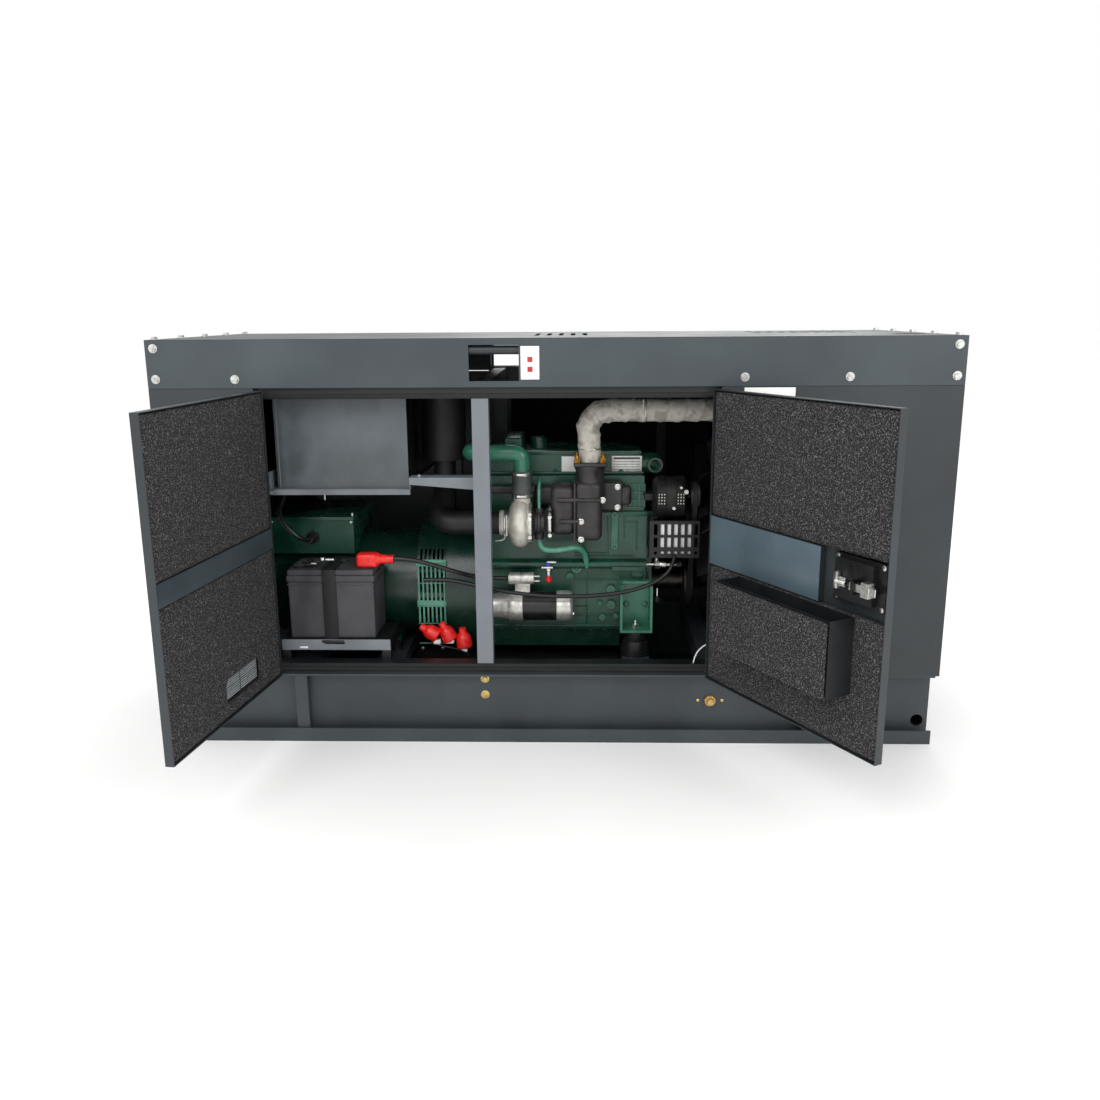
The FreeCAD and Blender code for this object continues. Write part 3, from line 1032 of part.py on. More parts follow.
sizes(frame_r=165, frame_inner=157, stator_left=-880, stator_right=-424, lamination_left=-800)
sizes(lamination_right=-500, air_gap_r=111, rotor_r=110, bearing_bore=25, drum_r=200, drum_inner=195)
sizes(vent_slot=7, vent_step=13)
drum = minus(turned([("stator_right", "frame_inner"), ("stator_right", "drum_r"), ("bell_left", "drum_r"),
                     ("bell_left", "drum_inner"), ("stator_right + 5", "drum_inner"),
                     ("stator_right + 5", "frame_inner")], 0, "crank_z"),
             *[block(("stator_right + 9 + %d * vent_step" % place, "stator_right + 9 + %d * vent_step + vent_slot" % place),
                     ("-drum_r - 1", "drum_r + 1"), z)
               for place in range(6) for z in (("crank_z - 145", "crank_z - 85"), ("crank_z - 70", "crank_z - 5"),
                                               ("crank_z + 10", "crank_z + 70"), ("crank_z + 85", "crank_z + 135"))])
alternator_frame = minus(
    union(rod("x", (0, "crank_z"), "frame_r", "stator_left", "stator_right"),
          *[block(("%s - foot_half" % x, "%s + foot_half" % x), ("-foot_y - 28", "foot_y + 28"), ("foot_low", "foot_low + 14"))
            for x in ("bearer_rear", "bearer_middle")]),
    rod("x", (0, "crank_z"), "frame_inner", "lamination_right", "stator_right + 1"),
    rod("x", (0, "crank_z"), "frame_inner", "stator_left + 8", "lamination_left"),
    rod("x", (0, "crank_z"), "air_gap_r", "lamination_left - 1", "lamination_right + 1"),
    rod("x", (0, "crank_z"), "bearing_bore + running_fit", "stator_left - 1", "stator_left + 9"))
subpart("generator_stator", alternator_frame, drum)
subpart("generator_rotor",
        union(rod("x", (0, "crank_z"), "bearing_bore", "stator_left - 20", "bell_left - 20"),
              rod("x", (0, "crank_z"), "rotor_r", "lamination_left", "lamination_right"),
              rod("x", (0, "crank_z"), "rotor_r + 60", "stator_right + 20", "stator_right + 40"),
              rod("x", (0, "crank_z"), "bell_hole", "bell_left - 21", "flywheel_left")))
sizes(outlet_box_left=-875, outlet_box_right=-616, outlet_box_front=-165, outlet_box_back=120)
sizes(outlet_box_low=511, outlet_box_high=622, gland_x=-741, gland_z=562, gland_r=15, gland_front=-190)
subpart("terminal_box",
        minus(union(shell(("outlet_box_left", "outlet_box_right"), ("outlet_box_front", "outlet_box_back"),
                          ("outlet_box_low", "outlet_box_high"), 3, ("z-",)),
                    rod("y", ("gland_x", "gland_z"), "gland_r", "gland_front", "outlet_box_front + 1")),
              rod("x", (0, "crank_z"), "frame_r + 0.2", "outlet_box_left - 1", "outlet_box_right + 1")))

# ---- cables that the set holds from end to end ----

sizes(battery_cable_r=6.5, harness_r=6, outlet_cable_r=7)
BATTERY_CABLE = [(-473.4, -300, 528), (-424, -300, 527), (-350, -302, 507), (-285, -294, 484), (-230, -264, 461),
                 (-184, -230, 449), (-143.5, -219, 446)]
HARNESS = [(-392, -262, 452), (-330, -266, 456), (-262, -272, 446), (-196, -276, 430), (-130, -276, 418),
           (-60, -275, 409), (10, -274, 405), (80, -273, 405), (150, -271, 409), (215, -268, 418),
           (275, -262, 434), (325, -252, 458), (352, -240, 490), (358, -224, 514)]
OUTLET_CABLE = [(-741, -190.6, 562), (-743, -230, 564), (-765, -260, 586), (-800, -262, 622), (-822, -236, 658),
                (-811, -206, 692), (-805, -196, 731.4)]
computed("battery_cable", routed("battery_cable", BATTERY_CABLE, number("battery_cable_r")))
computed("engine_harness", routed("engine_harness", HARNESS, number("harness_r")))
computed("terminal_cable", routed("terminal_cable", OUTLET_CABLE, number("outlet_cable_r")))

# ---- recompute, test and write each sub-part ----

DOC.recompute()
failed = [item.Label for item in DOC.Objects if "Invalid" in item.State or "Error" in item.State]
broken = [item.Label for item in SUBPARTS if item.Shape.isNull() or not item.Shape.isValid()]
if failed or broken:
    raise SystemExit("failed objects: %s; broken sub-parts: %s" % (failed, broken))
os.makedirs("parts", exist_ok=True)
for item in SUBPARTS:
    item.Shape.exportStep(os.path.join("parts", item.Label + ".step"))
print("%d sub-parts, %d solids" % (len(SUBPARTS), sum(len(item.Shape.Solids) for item in SUBPARTS)))
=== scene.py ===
import math

import bpy
from mathutils import Matrix, Vector, noise


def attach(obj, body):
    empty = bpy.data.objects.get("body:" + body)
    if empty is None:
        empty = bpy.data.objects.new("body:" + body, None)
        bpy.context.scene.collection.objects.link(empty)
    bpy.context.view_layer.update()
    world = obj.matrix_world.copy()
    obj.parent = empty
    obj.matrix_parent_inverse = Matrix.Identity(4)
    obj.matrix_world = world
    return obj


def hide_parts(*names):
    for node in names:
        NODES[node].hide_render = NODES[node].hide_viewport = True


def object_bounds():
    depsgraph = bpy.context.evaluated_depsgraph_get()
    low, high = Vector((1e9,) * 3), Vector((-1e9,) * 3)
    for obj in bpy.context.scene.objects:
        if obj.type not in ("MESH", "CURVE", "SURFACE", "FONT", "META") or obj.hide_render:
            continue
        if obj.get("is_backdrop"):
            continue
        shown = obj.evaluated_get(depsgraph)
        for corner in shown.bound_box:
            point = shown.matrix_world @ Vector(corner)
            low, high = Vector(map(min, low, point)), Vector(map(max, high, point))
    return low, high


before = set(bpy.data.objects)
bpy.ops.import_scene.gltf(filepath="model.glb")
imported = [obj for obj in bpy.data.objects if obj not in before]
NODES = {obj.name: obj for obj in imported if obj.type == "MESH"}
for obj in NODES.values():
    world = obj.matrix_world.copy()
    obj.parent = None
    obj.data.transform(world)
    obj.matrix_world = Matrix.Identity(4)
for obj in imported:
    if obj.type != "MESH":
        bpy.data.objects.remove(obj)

cad_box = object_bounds()
MM = 0.001


# ---- camera, lights and floor ----
# A pale studio: a white sky, a wide soft light high in front of the doors, a weaker one behind, and a
# plain floor that runs out of sight. The camera stands three paces off, at a little over roof height.

EYE = Vector((0.069, -3.125, 1.226))
YAW, PITCH, ROLL = -0.0286, -0.2337, -0.0067
LENS = 32.6
SKY_STRENGTH = 1.0
LIGHTS = [((-1.6, -3.6, 3.0), 2.2, 60), ((2.4, -3.0, 2.2), 1.8, 34), ((0.6, 3.6, 3.2), 3.0, 50)]


def linear(colour):
    """The linear RGBA of an sRGB hex colour."""
    shares = [int(colour[place:place + 2], 16) / 255 for place in (1, 3, 5)]
    light = [share / 12.92 if share <= 0.04045 else ((share + 0.055) / 1.055) ** 2.4 for share in shares]
    return light + [1.0]


def add_node(tree, kind, inputs=None, ramp=(), **settings):
    """Add a shader node with its settings and colour stops; inputs are values or (node, output) links."""
    made = tree.nodes.new(kind)
    for name, value in settings.items():
        setattr(made, name, value)
    for place, (position, colour) in enumerate(ramp):
        stop = made.color_ramp.elements[place] if place < 2 else made.color_ramp.elements.new(position)
        stop.position = position
        stop.color = linear(colour)
    for socket, value in (inputs or {}).items():
        if isinstance(value, tuple):
            tree.links.new(value[0].outputs[value[1]], made.inputs[socket])
        else:
            made.inputs[socket].default_value = value
    return made


def finish(name, shades, patch, grain, depth, roughness, even=None):
    """A finish whose shades and gloss drift over patches, with a finer grain in relief; sizes in mm."""
    made = bpy.data.materials.new(name)
    made.use_nodes = True
    tree = made.node_tree
    skin = tree.nodes["Principled BSDF"]
    for socket, value in (even or {}).items():
        skin.inputs[socket].default_value = value
    place = add_node(tree, "ShaderNodeTexCoord")
    drift = add_node(tree, "ShaderNodeTexNoise",
                     {"Vector": (place, "Object"), "Scale": 1 / (patch * MM), "Detail": 5.0})
    stops = [0.35 + 0.3 * step / max(1, len(shades) - 1) for step in range(len(shades))]
    colour = add_node(tree, "ShaderNodeValToRGB", {"Fac": (drift, "Fac")}, ramp=list(zip(stops, shades)))
    gloss = add_node(tree, "ShaderNodeMapRange", {"Value": (drift, "Fac"), "From Min": 0.3, "From Max": 0.7,
                                                  "To Min": roughness[0], "To Max": roughness[1]})
    fine = add_node(tree, "ShaderNodeTexNoise",
                    {"Vector": (place, "Object"), "Scale": 1 / (grain * MM), "Detail": 2.0})
    relief = add_node(tree, "ShaderNodeBump", {"Height": (fine, "Fac"), "Distance": depth * MM})
    tree.links.new(colour.outputs["Color"], skin.inputs["Base Color"])
    tree.links.new(gloss.outputs["Result"], skin.inputs["Roughness"])
    tree.links.new(relief.outputs["Normal"], skin.inputs["Normal"])
    return made


ahead = Vector((math.sin(YAW) * math.cos(PITCH), math.cos(YAW) * math.cos(PITCH), math.sin(PITCH)))
level = ahead.cross(Vector((0, 0, 1))).normalized()
upward = level.cross(ahead)
right = level * math.cos(ROLL) + upward * math.sin(ROLL)
over = upward * math.cos(ROLL) - level * math.sin(ROLL)
bpy.ops.object.camera_add()
camera = bpy.context.active_object
camera.data.lens = LENS
camera.data.sensor_width = 36
camera.matrix_world = Matrix.Translation(EYE) @ Matrix((right, over, -ahead)).transposed().to_4x4()
bpy.context.scene.camera = camera

for spot, size, power in LIGHTS:
    bpy.ops.object.light_add(type="AREA", location=spot)
    light = bpy.context.active_object
    light.data.size = size
    light.data.energy = power
    light.rotation_euler = (Vector((0, 0, 0.5)) - light.location).to_track_quat("-Z", "Y").to_euler()

sky = bpy.data.worlds.new("white sky")
bpy.context.scene.world = sky
sky.use_nodes = True
sky.node_tree.nodes["Background"].inputs["Color"].default_value = linear("#ffffff")
sky.node_tree.nodes["Background"].inputs["Strength"].default_value = SKY_STRENGTH
bpy.context.scene.view_settings.view_transform = "Standard"

bpy.ops.mesh.primitive_circle_add(vertices=96, radius=60, fill_type="NGON")
floor = bpy.context.active_object
floor.name = "floor"
# Pale smooth screed: almost white, quite matt.
floor.data.materials.append(finish("pale matt screed", ["#f6f6f5", "#fafaf9"], 900, 6, 0.05, (0.75, 0.85),
                                   {"Emission Color": linear("#ffffff"), "Emission Strength": 0.09}))
floor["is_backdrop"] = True


# ---- held cables ----
# Three stranded copper cables in black PVC: the battery's cable to the starter solenoid, the engine
# loom that sags along the crankcase, and the outlet cable from the alternator's gland to the shelf.

CABLES = {
    "battery_cable": (0.0065, 0.362, [
        (-.4734, -.300, .528), (-.424, -.300, .527), (-.350, -.302, .507), (-.285, -.294, .484),
        (-.230, -.264, .461), (-.184, -.230, .449), (-.1435, -.219, .446)]),
    "engine_harness": (0.006, 0.803, [
        (-.392, -.262, .452), (-.330, -.266, .456), (-.262, -.272, .446), (-.196, -.276, .430),
        (-.130, -.276, .418), (-.060, -.275, .409), (.010, -.274, .405), (.080, -.273, .405),
        (.150, -.271, .409), (.215, -.268, .418), (.275, -.262, .434), (.325, -.252, .458),
        (.352, -.240, .490), (.358, -.224, .514)]),
    "terminal_cable": (0.007, 0.263, [
        (-.741, -.1906, .562), (-.743, -.230, .564), (-.765, -.260, .586), (-.800, -.262, .622),
        (-.822, -.236, .658), (-.811, -.206, .692), (-.805, -.196, .7314)]),
}

# Black PVC jacket: extruded, so faintly satin, with soft greyish rub marks.
cable_jacket = finish("extruded black PVC jacket", ["#0d0d0e", "#171718"], 30, 2, 0.06, (0.32, 0.45))


def line(name, points, radius, scale=1.0):
    """A round cable or pipe on one smooth line that its points steer."""
    curve = bpy.data.curves.new(name, "CURVE")
    curve.dimensions = "3D"
    spline = curve.splines.new("NURBS")
    spline.points.add(len(points) - 1)
    for point, place in zip(spline.points, points):
        point.co = (*(Vector(place) * scale), 1)
    spline.order_u = 3
    spline.use_endpoint_u = True
    curve.resolution_u = 12
    curve.bevel_depth = radius * scale
    curve.bevel_resolution = 5
    curve.use_fill_caps = True
    made = bpy.data.objects.new(name, curve)
    bpy.context.scene.collection.objects.link(made)
    return made


def laid(item, made, slot, *replaced):
    """Give a cable or pipe its finish and fix it to the canopy."""
    item.data.materials.append(made)
    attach(item, "canopy")
    if replaced:
        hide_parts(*replaced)
    return item


for node, (radius, length, route) in CABLES.items():
    cable = laid(line(node + "_jacket", route, radius), cable_jacket, node, node)


# ---- base frame, fuel tank and their fittings ----
# Two rolled edge beams, plates and box bearers, welded and powder coated, with the welded fuel tank
# slung between them. The tank's drain and the two rail bolts are brass and yellow zinc.


def dress(made, *nodes):
    """Give CAD nodes one finish."""
    for node in nodes:
        for place in NODES[node].material_slots:
            place.material = made
        if not NODES[node].material_slots:
            NODES[node].data.materials.append(made)


# A random mottle inside each tinted box; most tinted boxes paint shade or light into a finish.
TINT_MOTTLE_SCALE, TINT_MOTTLE_DARKEN = 9.0, 0.86


def tinted(made, low, high, shade):
    """Another shade on a finish inside one box of the machine, its corners in mm."""
    tree = made.node_tree
    skin = tree.nodes["Principled BSDF"]
    under = skin.inputs["Base Color"].links[0].from_socket
    middle = [(a + b) / 2 * MM for a, b in zip(low, high)]
    half = [(b - a) / 2 * MM for a, b in zip(low, high)]
    place = add_node(tree, "ShaderNodeTexCoord")
    shift = add_node(tree, "ShaderNodeVectorMath", {0: (place, "Object"), 1: middle}, operation="SUBTRACT")
    share = add_node(tree, "ShaderNodeVectorMath", {0: (shift, "Vector"), 1: half}, operation="DIVIDE")
    size = add_node(tree, "ShaderNodeVectorMath", {0: (share, "Vector")}, operation="ABSOLUTE")
    split = add_node(tree, "ShaderNodeSeparateXYZ", {"Vector": (size, "Vector")})
    wider = add_node(tree, "ShaderNodeMath", {0: (split, "X"), 1: (split, "Y")}, operation="MAXIMUM")
    widest = add_node(tree, "ShaderNodeMath", {0: (wider, "Value"), 1: (split, "Z")}, operation="MAXIMUM")
    inside = add_node(tree, "ShaderNodeMath", {0: (widest, "Value"), 1: 1.0}, operation="LESS_THAN")
    tint_mottle = add_node(tree, "ShaderNodeTexNoise",
                     {"Vector": (place, "Object"), "Scale": TINT_MOTTLE_SCALE, "Detail": 4.0})
    second = add_node(tree, "ShaderNodeValToRGB", {"Fac": (tint_mottle, "Fac")},
                      ramp=[(0.3, shade), (0.75, shade)])
    second.color_ramp.elements[1].color = [channel * TINT_MOTTLE_DARKEN for channel in linear(shade)[:3]] + [1.0]
    mixed = add_node(tree, "ShaderNodeMix", {"Factor": (inside, "Value")}, data_type="RGBA")
    tree.links.new(under, mixed.inputs["A"])
    tree.links.new(second.outputs["Color"], mixed.inputs["B"])
    tree.links.new(mixed.outputs["Result"], skin.inputs["Base Color"])
    return made


# Powder coat, fine texture: an even satin skin with very small orange peel, drifting a little in shade.
base_coat = finish("fine texture slate powder coat, dark", ["#2f3639", "#383f43"], 180, 1.4, 0.10,
                   (0.42, 0.55))
# Black powder coat on the tank: even, satin, hardly any texture.
tank_coat = finish("satin black powder coat", ["#121314", "#1a1b1c"], 90, 1.4, 0.08, (0.4, 0.55))
# Yellow passivated zinc: pale gold with rainbow patches, a brushed-looking metal.
yellow_zinc = finish("yellow passivated zinc plate", ["#b8924f", "#d8bc80", "#c9a96c"], 9, 0.8, 0.03,
                     (0.28, 0.42), {"Metallic": 1.0})
dress(base_coat, "base_frame")
dress(tank_coat, "fuel_tank")


def only(*items):
    """Select just these items, the first one active."""
    bpy.ops.object.select_all(action="DESELECT")
    for item in items:
        item.select_set(True)
    bpy.context.view_layer.objects.active = items[0]


def modify(item, kind, **settings):
    """Add one modifier and apply it."""
    only(item)
    step = item.modifiers.new("step", kind)
    for name, value in settings.items():
        setattr(step, name, value)
    bpy.ops.object.modifier_apply(modifier=step.name)
    return item


def settled(name):
    """Name the primitive just added and put its place into its mesh."""
    made = bpy.context.active_object
    made.name = name
    bpy.ops.object.transform_apply(location=True, rotation=True, scale=True)
    return made


def block(name, low, high, edge=1.0, segments=2):
    """A bar or slab between two corners in mm, its edges rounded."""
    bpy.ops.object.select_all(action="DESELECT")
    bpy.ops.mesh.primitive_cube_add(size=1, location=[(a + b) / 2 * MM for a, b in zip(low, high)],
                                    scale=[(b - a) * MM for a, b in zip(low, high)])
    made = settled(name)
    return modify(made, "BEVEL", width=edge * MM, segments=segments)


TURN_FROM_Z = {"x": (0, math.pi / 2, 0), "y": (-math.pi / 2, 0, 0), "z": (0, 0, 0)}
WAY = {"x": Vector((1, 0, 0)), "y": Vector((0, 1, 0)), "z": Vector((0, 0, 1))}


def turned(name, axis, centre, profile, sides=32):
    """A round piece on a line along one axis: a disc drawn out through (place, radius) rings, in mm."""
    across = iter(centre)
    middle = Vector([0 if letter == axis else next(across) for letter in "xyz"]) * MM
    (place, radius), *rings = profile
    bpy.ops.object.select_all(action="DESELECT")
    bpy.ops.mesh.primitive_circle_add(vertices=sides, radius=radius * MM, fill_type="NGON",
                                      location=middle + WAY[axis] * place * MM, rotation=TURN_FROM_Z[axis])
    made = settled(name)
    bpy.ops.object.mode_set(mode="EDIT")
    bpy.ops.mesh.select_all(action="SELECT")
    for after, wider in rings:
        bpy.ops.mesh.extrude_region_move(TRANSFORM_OT_translate={"value": WAY[axis] * (after - place) * MM})
        bpy.ops.transform.resize(value=(wider / radius,) * 3, center_override=middle + WAY[axis] * after * MM)
        place, radius = after, wider
    bpy.ops.mesh.select_all(action="SELECT")
    bpy.ops.mesh.normals_make_consistent(inside=False)
    bpy.ops.object.mode_set(mode="OBJECT")
    return made


def joined(name, *parts):
    """Several meshes as one piece."""
    only(*parts)
    if len(parts) > 1:
        bpy.ops.object.join()
    made = bpy.context.active_object
    made.name = name
    return made


def repeated(name, model, spots):
    """Copies of a model made at the origin, each with its own mesh, at spots in mm, as one piece."""
    twins = []
    for spot in spots:
        twin = model.copy()
        twin.data = model.data.copy()
        twin.data.transform(Matrix.Translation(Vector(spot) * MM))
        bpy.context.scene.collection.objects.link(twin)
        twins.append(twin)
    bpy.data.objects.remove(model)
    return joined(name, *twins)


def bolt_head(axis, outward, radius, tall):
    """A washer under a hexagon head with its corners turned off, at the origin."""
    washer = turned("washer", axis, (0, 0), [(0, 1.4 * radius), (outward * 1.2, 1.4 * radius),
                                             (outward * 1.6, 1.3 * radius)], 24)
    head = turned("head", axis, (0, 0), [(outward * 1.6, radius), (outward * (1.6 + 0.8 * tall), radius),
                                         (outward * (1.6 + tall), 0.84 * radius)], 6)
    return joined("bolt", washer, head)


def fit(item, made, body, slot, *replaced):
    """Smooth a piece's round parts, give it its finish and let it ride on its body."""
    only(item)
    bpy.ops.object.shade_smooth_by_angle(angle=math.radians(35))
    item.data.materials.clear()
    item.data.materials.append(made)
    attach(item, body)
    if replaced:
        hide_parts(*replaced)
    return item


fit(repeated("rail_bolts", bolt_head("y", -1, 9, 5.5), [(-203, -375, 183), (-203, -375, 134)]),
    yellow_zinc, "canopy", "brass_fittings", "brass_fittings")
# A thin sheet lies on the beams' inner flanges and closes the underside.
fit(block("belly_sheet", (-1083, -366, 6.1), (1083, 366, 7.7), 0.3), base_coat, "canopy", "base_frame")
DRAIN_LINE = (456, 118)
drain_flange = turned("drain_flange", "y", DRAIN_LINE, [(-375, 17), (-380, 17), (-382, 15.5)], 40)
drain_plug = turned("drain_plug", "y", DRAIN_LINE, [(-382, 12), (-391, 12), (-393, 10.4)], 6)
fit(joined("fuel_drain", drain_flange, drain_plug), yellow_zinc, "canopy", "brass_fittings")
fit(repeated("drain_screws", turned("screw", "y", (0, 0), [(0, 5), (-2.5, 5), (-4, 3)], 20),
             [(421, -375, 118), (491, -375, 118)]), yellow_zinc, "canopy", "brass_fittings")


# ---- canopy ----
# Folded steel sheet in the same slate powder coat, the long top beams a shade lighter than the walls,
# bolted together through their laps. The lifting bar and its frame are thicker welded steel.

canopy_coat = finish("fine texture slate powder coat", ["#272c2f", "#2f3538"], 260, 1.3, 0.09, (0.40, 0.52))
band_coat = finish("fine texture slate powder coat, lighter", ["#333b40", "#3d464b"], 260, 1.3, 0.09,
                   (0.36, 0.48))
dress(canopy_coat, "left_end_panel", "right_end_panel", "fixed_panels", "roof_panel", "lifting_bar")
dress(band_coat, "top_beams")
# Bright zinc plate: silvery, cloudy, with fine scratches.
zinc = finish("bright zinc plate", ["#b9bab6", "#deded8"], 7, 0.7, 0.03, (0.24, 0.4), {"Metallic": 1.0})
dress(zinc, "canopy_bolts")
# Vinyl stickers, all blank: white film with a faint yellowing, smooth.
vinyl = finish("white vinyl film", ["#e4e5e2", "#f1f1ee"], 25, 3, 0.01, (0.3, 0.4))
fit(block("band_sticker", (-84, -415.8, 1052), (-34, -415, 1140), 0.3), vinyl, "canopy", "top_beams")
# Red film: saturated and smooth, like the white.
red_film = finish("red vinyl film", ["#b3262a", "#c43134"], 10, 3, 0.01, (0.3, 0.4))
fit(joined("band_sticker_marks", block("mark", (-66, -416.3, 1098), (-52, -415.8, 1112), 0.2),
           block("mark", (-66, -416.3, 1072), (-52, -415.8, 1086), 0.2)), red_film, "canopy", "top_beams")
fit(block("panel_sticker", (516, -415.8, 1000), (652, -415, 1028), 0.3), vinyl, "canopy", "fixed_panels")


# ---- acoustic foam on the fixed walls and the roof ----
# Slabs of open-cell foam, cut from sheet and glued to the steel. The cut face is a mass of small torn
# cells; on the doors they catch the light as pale specks, and inside the set they are black with painted
# shade.

CELL_WARP = 0.004


def speckled(name, dark, middle, light, cell, depth):
    """Open-cell foam: torn cells with pale rims; the cell size in mm is coarse enough to show."""
    made = bpy.data.materials.new(name)
    made.use_nodes = True
    tree = made.node_tree
    skin = tree.nodes["Principled BSDF"]
    skin.inputs["Roughness"].default_value = 0.95
    skin.inputs["Specular IOR Level"].default_value = 0.2
    place = add_node(tree, "ShaderNodeTexCoord")
    warp = add_node(tree, "ShaderNodeTexNoise", {"Vector": (place, "Object"), "Scale": 0.7 / (cell * MM)})
    moved = add_node(tree, "ShaderNodeMixRGB",
                     {"Fac": CELL_WARP, "Color1": (place, "Object"), "Color2": (warp, "Color")})
    cells = add_node(tree, "ShaderNodeTexVoronoi", {"Vector": (moved, "Color"), "Scale": 1 / (cell * MM)})
    rough = add_node(tree, "ShaderNodeTexNoise", {"Vector": (place, "Object"), "Scale": 1.6 / (cell * MM),
                                                  "Detail": 3.0})
    both = add_node(tree, "ShaderNodeMath", {0: (cells, "Distance"), 1: (rough, "Fac")}, operation="MULTIPLY")
    colour = add_node(tree, "ShaderNodeValToRGB", {"Fac": (both, "Value")},
                      ramp=[(0.12, dark), (0.30, middle), (0.46, light)])
    relief = add_node(tree, "ShaderNodeBump", {"Height": (both, "Value"), "Distance": depth * MM})
    tree.links.new(colour.outputs["Color"], skin.inputs["Base Color"])
    tree.links.new(relief.outputs["Normal"], skin.inputs["Normal"])
    return made


# Charcoal for the doors, and black for the walls as painted shade. The cells are drawn coarser than real ones
# to show.
foam = speckled("open-cell polyurethane foam, charcoal", "#1b1b1d", "#343335", "#716e6e", 3.2, 2.0)
foam_painted_shade = speckled("open-cell polyurethane foam, black with painted shade", "#050506", "#0c0c0d", "#1c1b1c", 3.2, 2.0)

FOAM_VOXEL, FOAM_RIPPLE, FOAM_OFTEN, FOAM_INSET = 8, 0.9, 22, 0.4


def slab(name, low, high, *holes):
    """A foam slab with soft uneven edges; each hole is cut between two corners, in mm."""
    made = block(name, low, high, 3.5, 3)
    for hole in holes:
        cutter = block("cutter", *hole, 0.5)
        modify(made, "BOOLEAN", object=cutter, operation="DIFFERENCE", solver="EXACT")
        bpy.data.objects.remove(cutter)
    modify(made, "REMESH", mode="VOXEL", voxel_size=FOAM_VOXEL * MM)
    outward = [point.normal.copy() for point in made.data.vertices]
    for point, way in zip(made.data.vertices, outward):
        point.co += way * FOAM_RIPPLE * MM * (noise.noise(point.co * FOAM_OFTEN) - FOAM_INSET)
    return made


def pad(item, made, body, slot, *replaced):
    """Finish a foam slab and let it ride on its body."""
    fit(item, made, body, slot, *replaced)
    return item


WALL_SLABS = [((-1045, -411, 250), (-870, -386, 985)), ((500, -411, 250), (1045, -386, 985)),
              ((-1045, 386, 250), (-885, 411, 985)), ((-165, 386, 250), (350, 411, 985)),
              ((375, 386, 250), (1045, 411, 985)), ((-1050, -330, 1135), (-260, 330, 1160)),
              ((150, -330, 1135), (600, 330, 1160))]
stands_for = ["wall_foam"]
for count, (low, high) in enumerate(WALL_SLABS):
    pad(slab("wall_foam_%d" % (count + 1), low, high), foam_painted_shade, "canopy", "wall_foam", *stands_for)
    stands_for = []

# Black cloth tape over the seam between the two rear slabs.
cloth_tape = finish("black cloth tape", ["#060607", "#0c0c0d"], 60, 1.5, 0.08, (0.6, 0.75))
fit(block("foam_seam_tape", (346, 383.4, 252), (379, 384.9, 983), 0.4), cloth_tape, "canopy", "wall_foam")


# ---- door frames, seals and hinges ----
# Folded steel round the door opening with a square post between the doors; the frame is darkened with
# painted shade, and the post is left a shade lighter. Black rubber seals are pressed on the frame's edge,
# and the hinges are cast and coated.

# Satin enamel with painted shade, kept nearly black as the frame lies in deep shade; the middle post, out of
# that shade, is tinted lighter.
frame_coat_painted_shade = finish("satin slate enamel, painted shade", ["#131617", "#1a1d1f"], 120, 1.3, 0.06, (0.35, 0.5))
tinted(frame_coat_painted_shade, (-223, -395, 236), (-175, -340, 1000), "#747a80")
dress(frame_coat_painted_shade, "door_frame_members")
dress(canopy_coat, "door_hinges")
# EPDM rubber: deep black, quite matt, with a faint bloom.
rubber = finish("extruded EPDM rubber", ["#0a0a0b", "#151516"], 25, 1.5, 0.08, (0.6, 0.75))
fit(joined("door_seals", block("seal", (-830, -392.6, 1000), (460, -390, 1014), 1.0),
           block("seal", (-830, -392.6, 222), (460, -390, 236), 1.0),
           block("seal", (-832, -392.6, 222), (-817, -390, 1014), 1.0),
           block("seal", (447, -392.6, 222), (462, -390, 1014), 1.0)), rubber, "canopy", "door_frame_members")


# ---- left front door ----
# A folded tray with a top-hat stiffener across it, two foam slabs glued in, and a small louvred grille
# near the bottom. It is drawn shut here and swung open with its hinge.

# The hinge line's place in mm, and the turn in degrees from shut to this pose.
LEFT_HINGE = (-811.5, -421.5, -97.3)


def swing(item, hinge):
    """Turn a piece drawn on the shut door about its hinge line, in mm and degrees."""
    place = Matrix.Translation(Vector((hinge[0], hinge[1], 0)) * MM)
    item.data.transform(place @ Matrix.Rotation(math.radians(hinge[2]), 4, "Z") @ place.inverted())
    return item


dress(canopy_coat, "left_door_panel")
# Smooth semi-gloss slate coat on the stiffeners, which looks bluer than the textured walls; the darker copy
# for the left stiffener is painted shade.
stiffener_coat = finish("smooth semi-gloss slate enamel", ["#4f5e67", "#5b6c75"], 200, 2.5, 0.03,
                        (0.25, 0.36))
stiffener_painted_shade = finish("smooth semi-gloss slate enamel, painted shade", ["#343d42", "#3d474c"], 200, 2.5, 0.03,
                        (0.3, 0.4))
pad(swing(slab("left_door_foam_upper", (-804.5, -413, 647), (-204.5, -393, 1022)), LEFT_HINGE),
    foam, "left_door", "left_door_foam", "left_door_foam")
pad(swing(slab("left_door_foam_lower", (-804.5, -413, 216), (-204.5, -393, 587),
               ((-688, -416, 249), (-484, -390, 313))), LEFT_HINGE), foam, "left_door", "left_door_foam")
fit(swing(block("left_stiffener_face", (-806, -396, 589), (-203, -394.8, 645), 0.5), LEFT_HINGE),
    stiffener_painted_shade, "left_door", "left_door_panel")
PANES, SLAT_ROWS, SLAT_LOW, SLAT_PITCH, SLAT_WIDE, SLAT_TALL = (-683.5, -582.5), 9, 255, 6.1, 94, 2.4
slats = []
for pane_left in PANES:
    for row in range(SLAT_ROWS):
        height = SLAT_LOW + SLAT_PITCH * row
        corner = (pane_left + SLAT_WIDE, -410.4, height + SLAT_TALL)
        slats.append(block("slat", (pane_left, -412.6, height), corner, 0.5, 1))
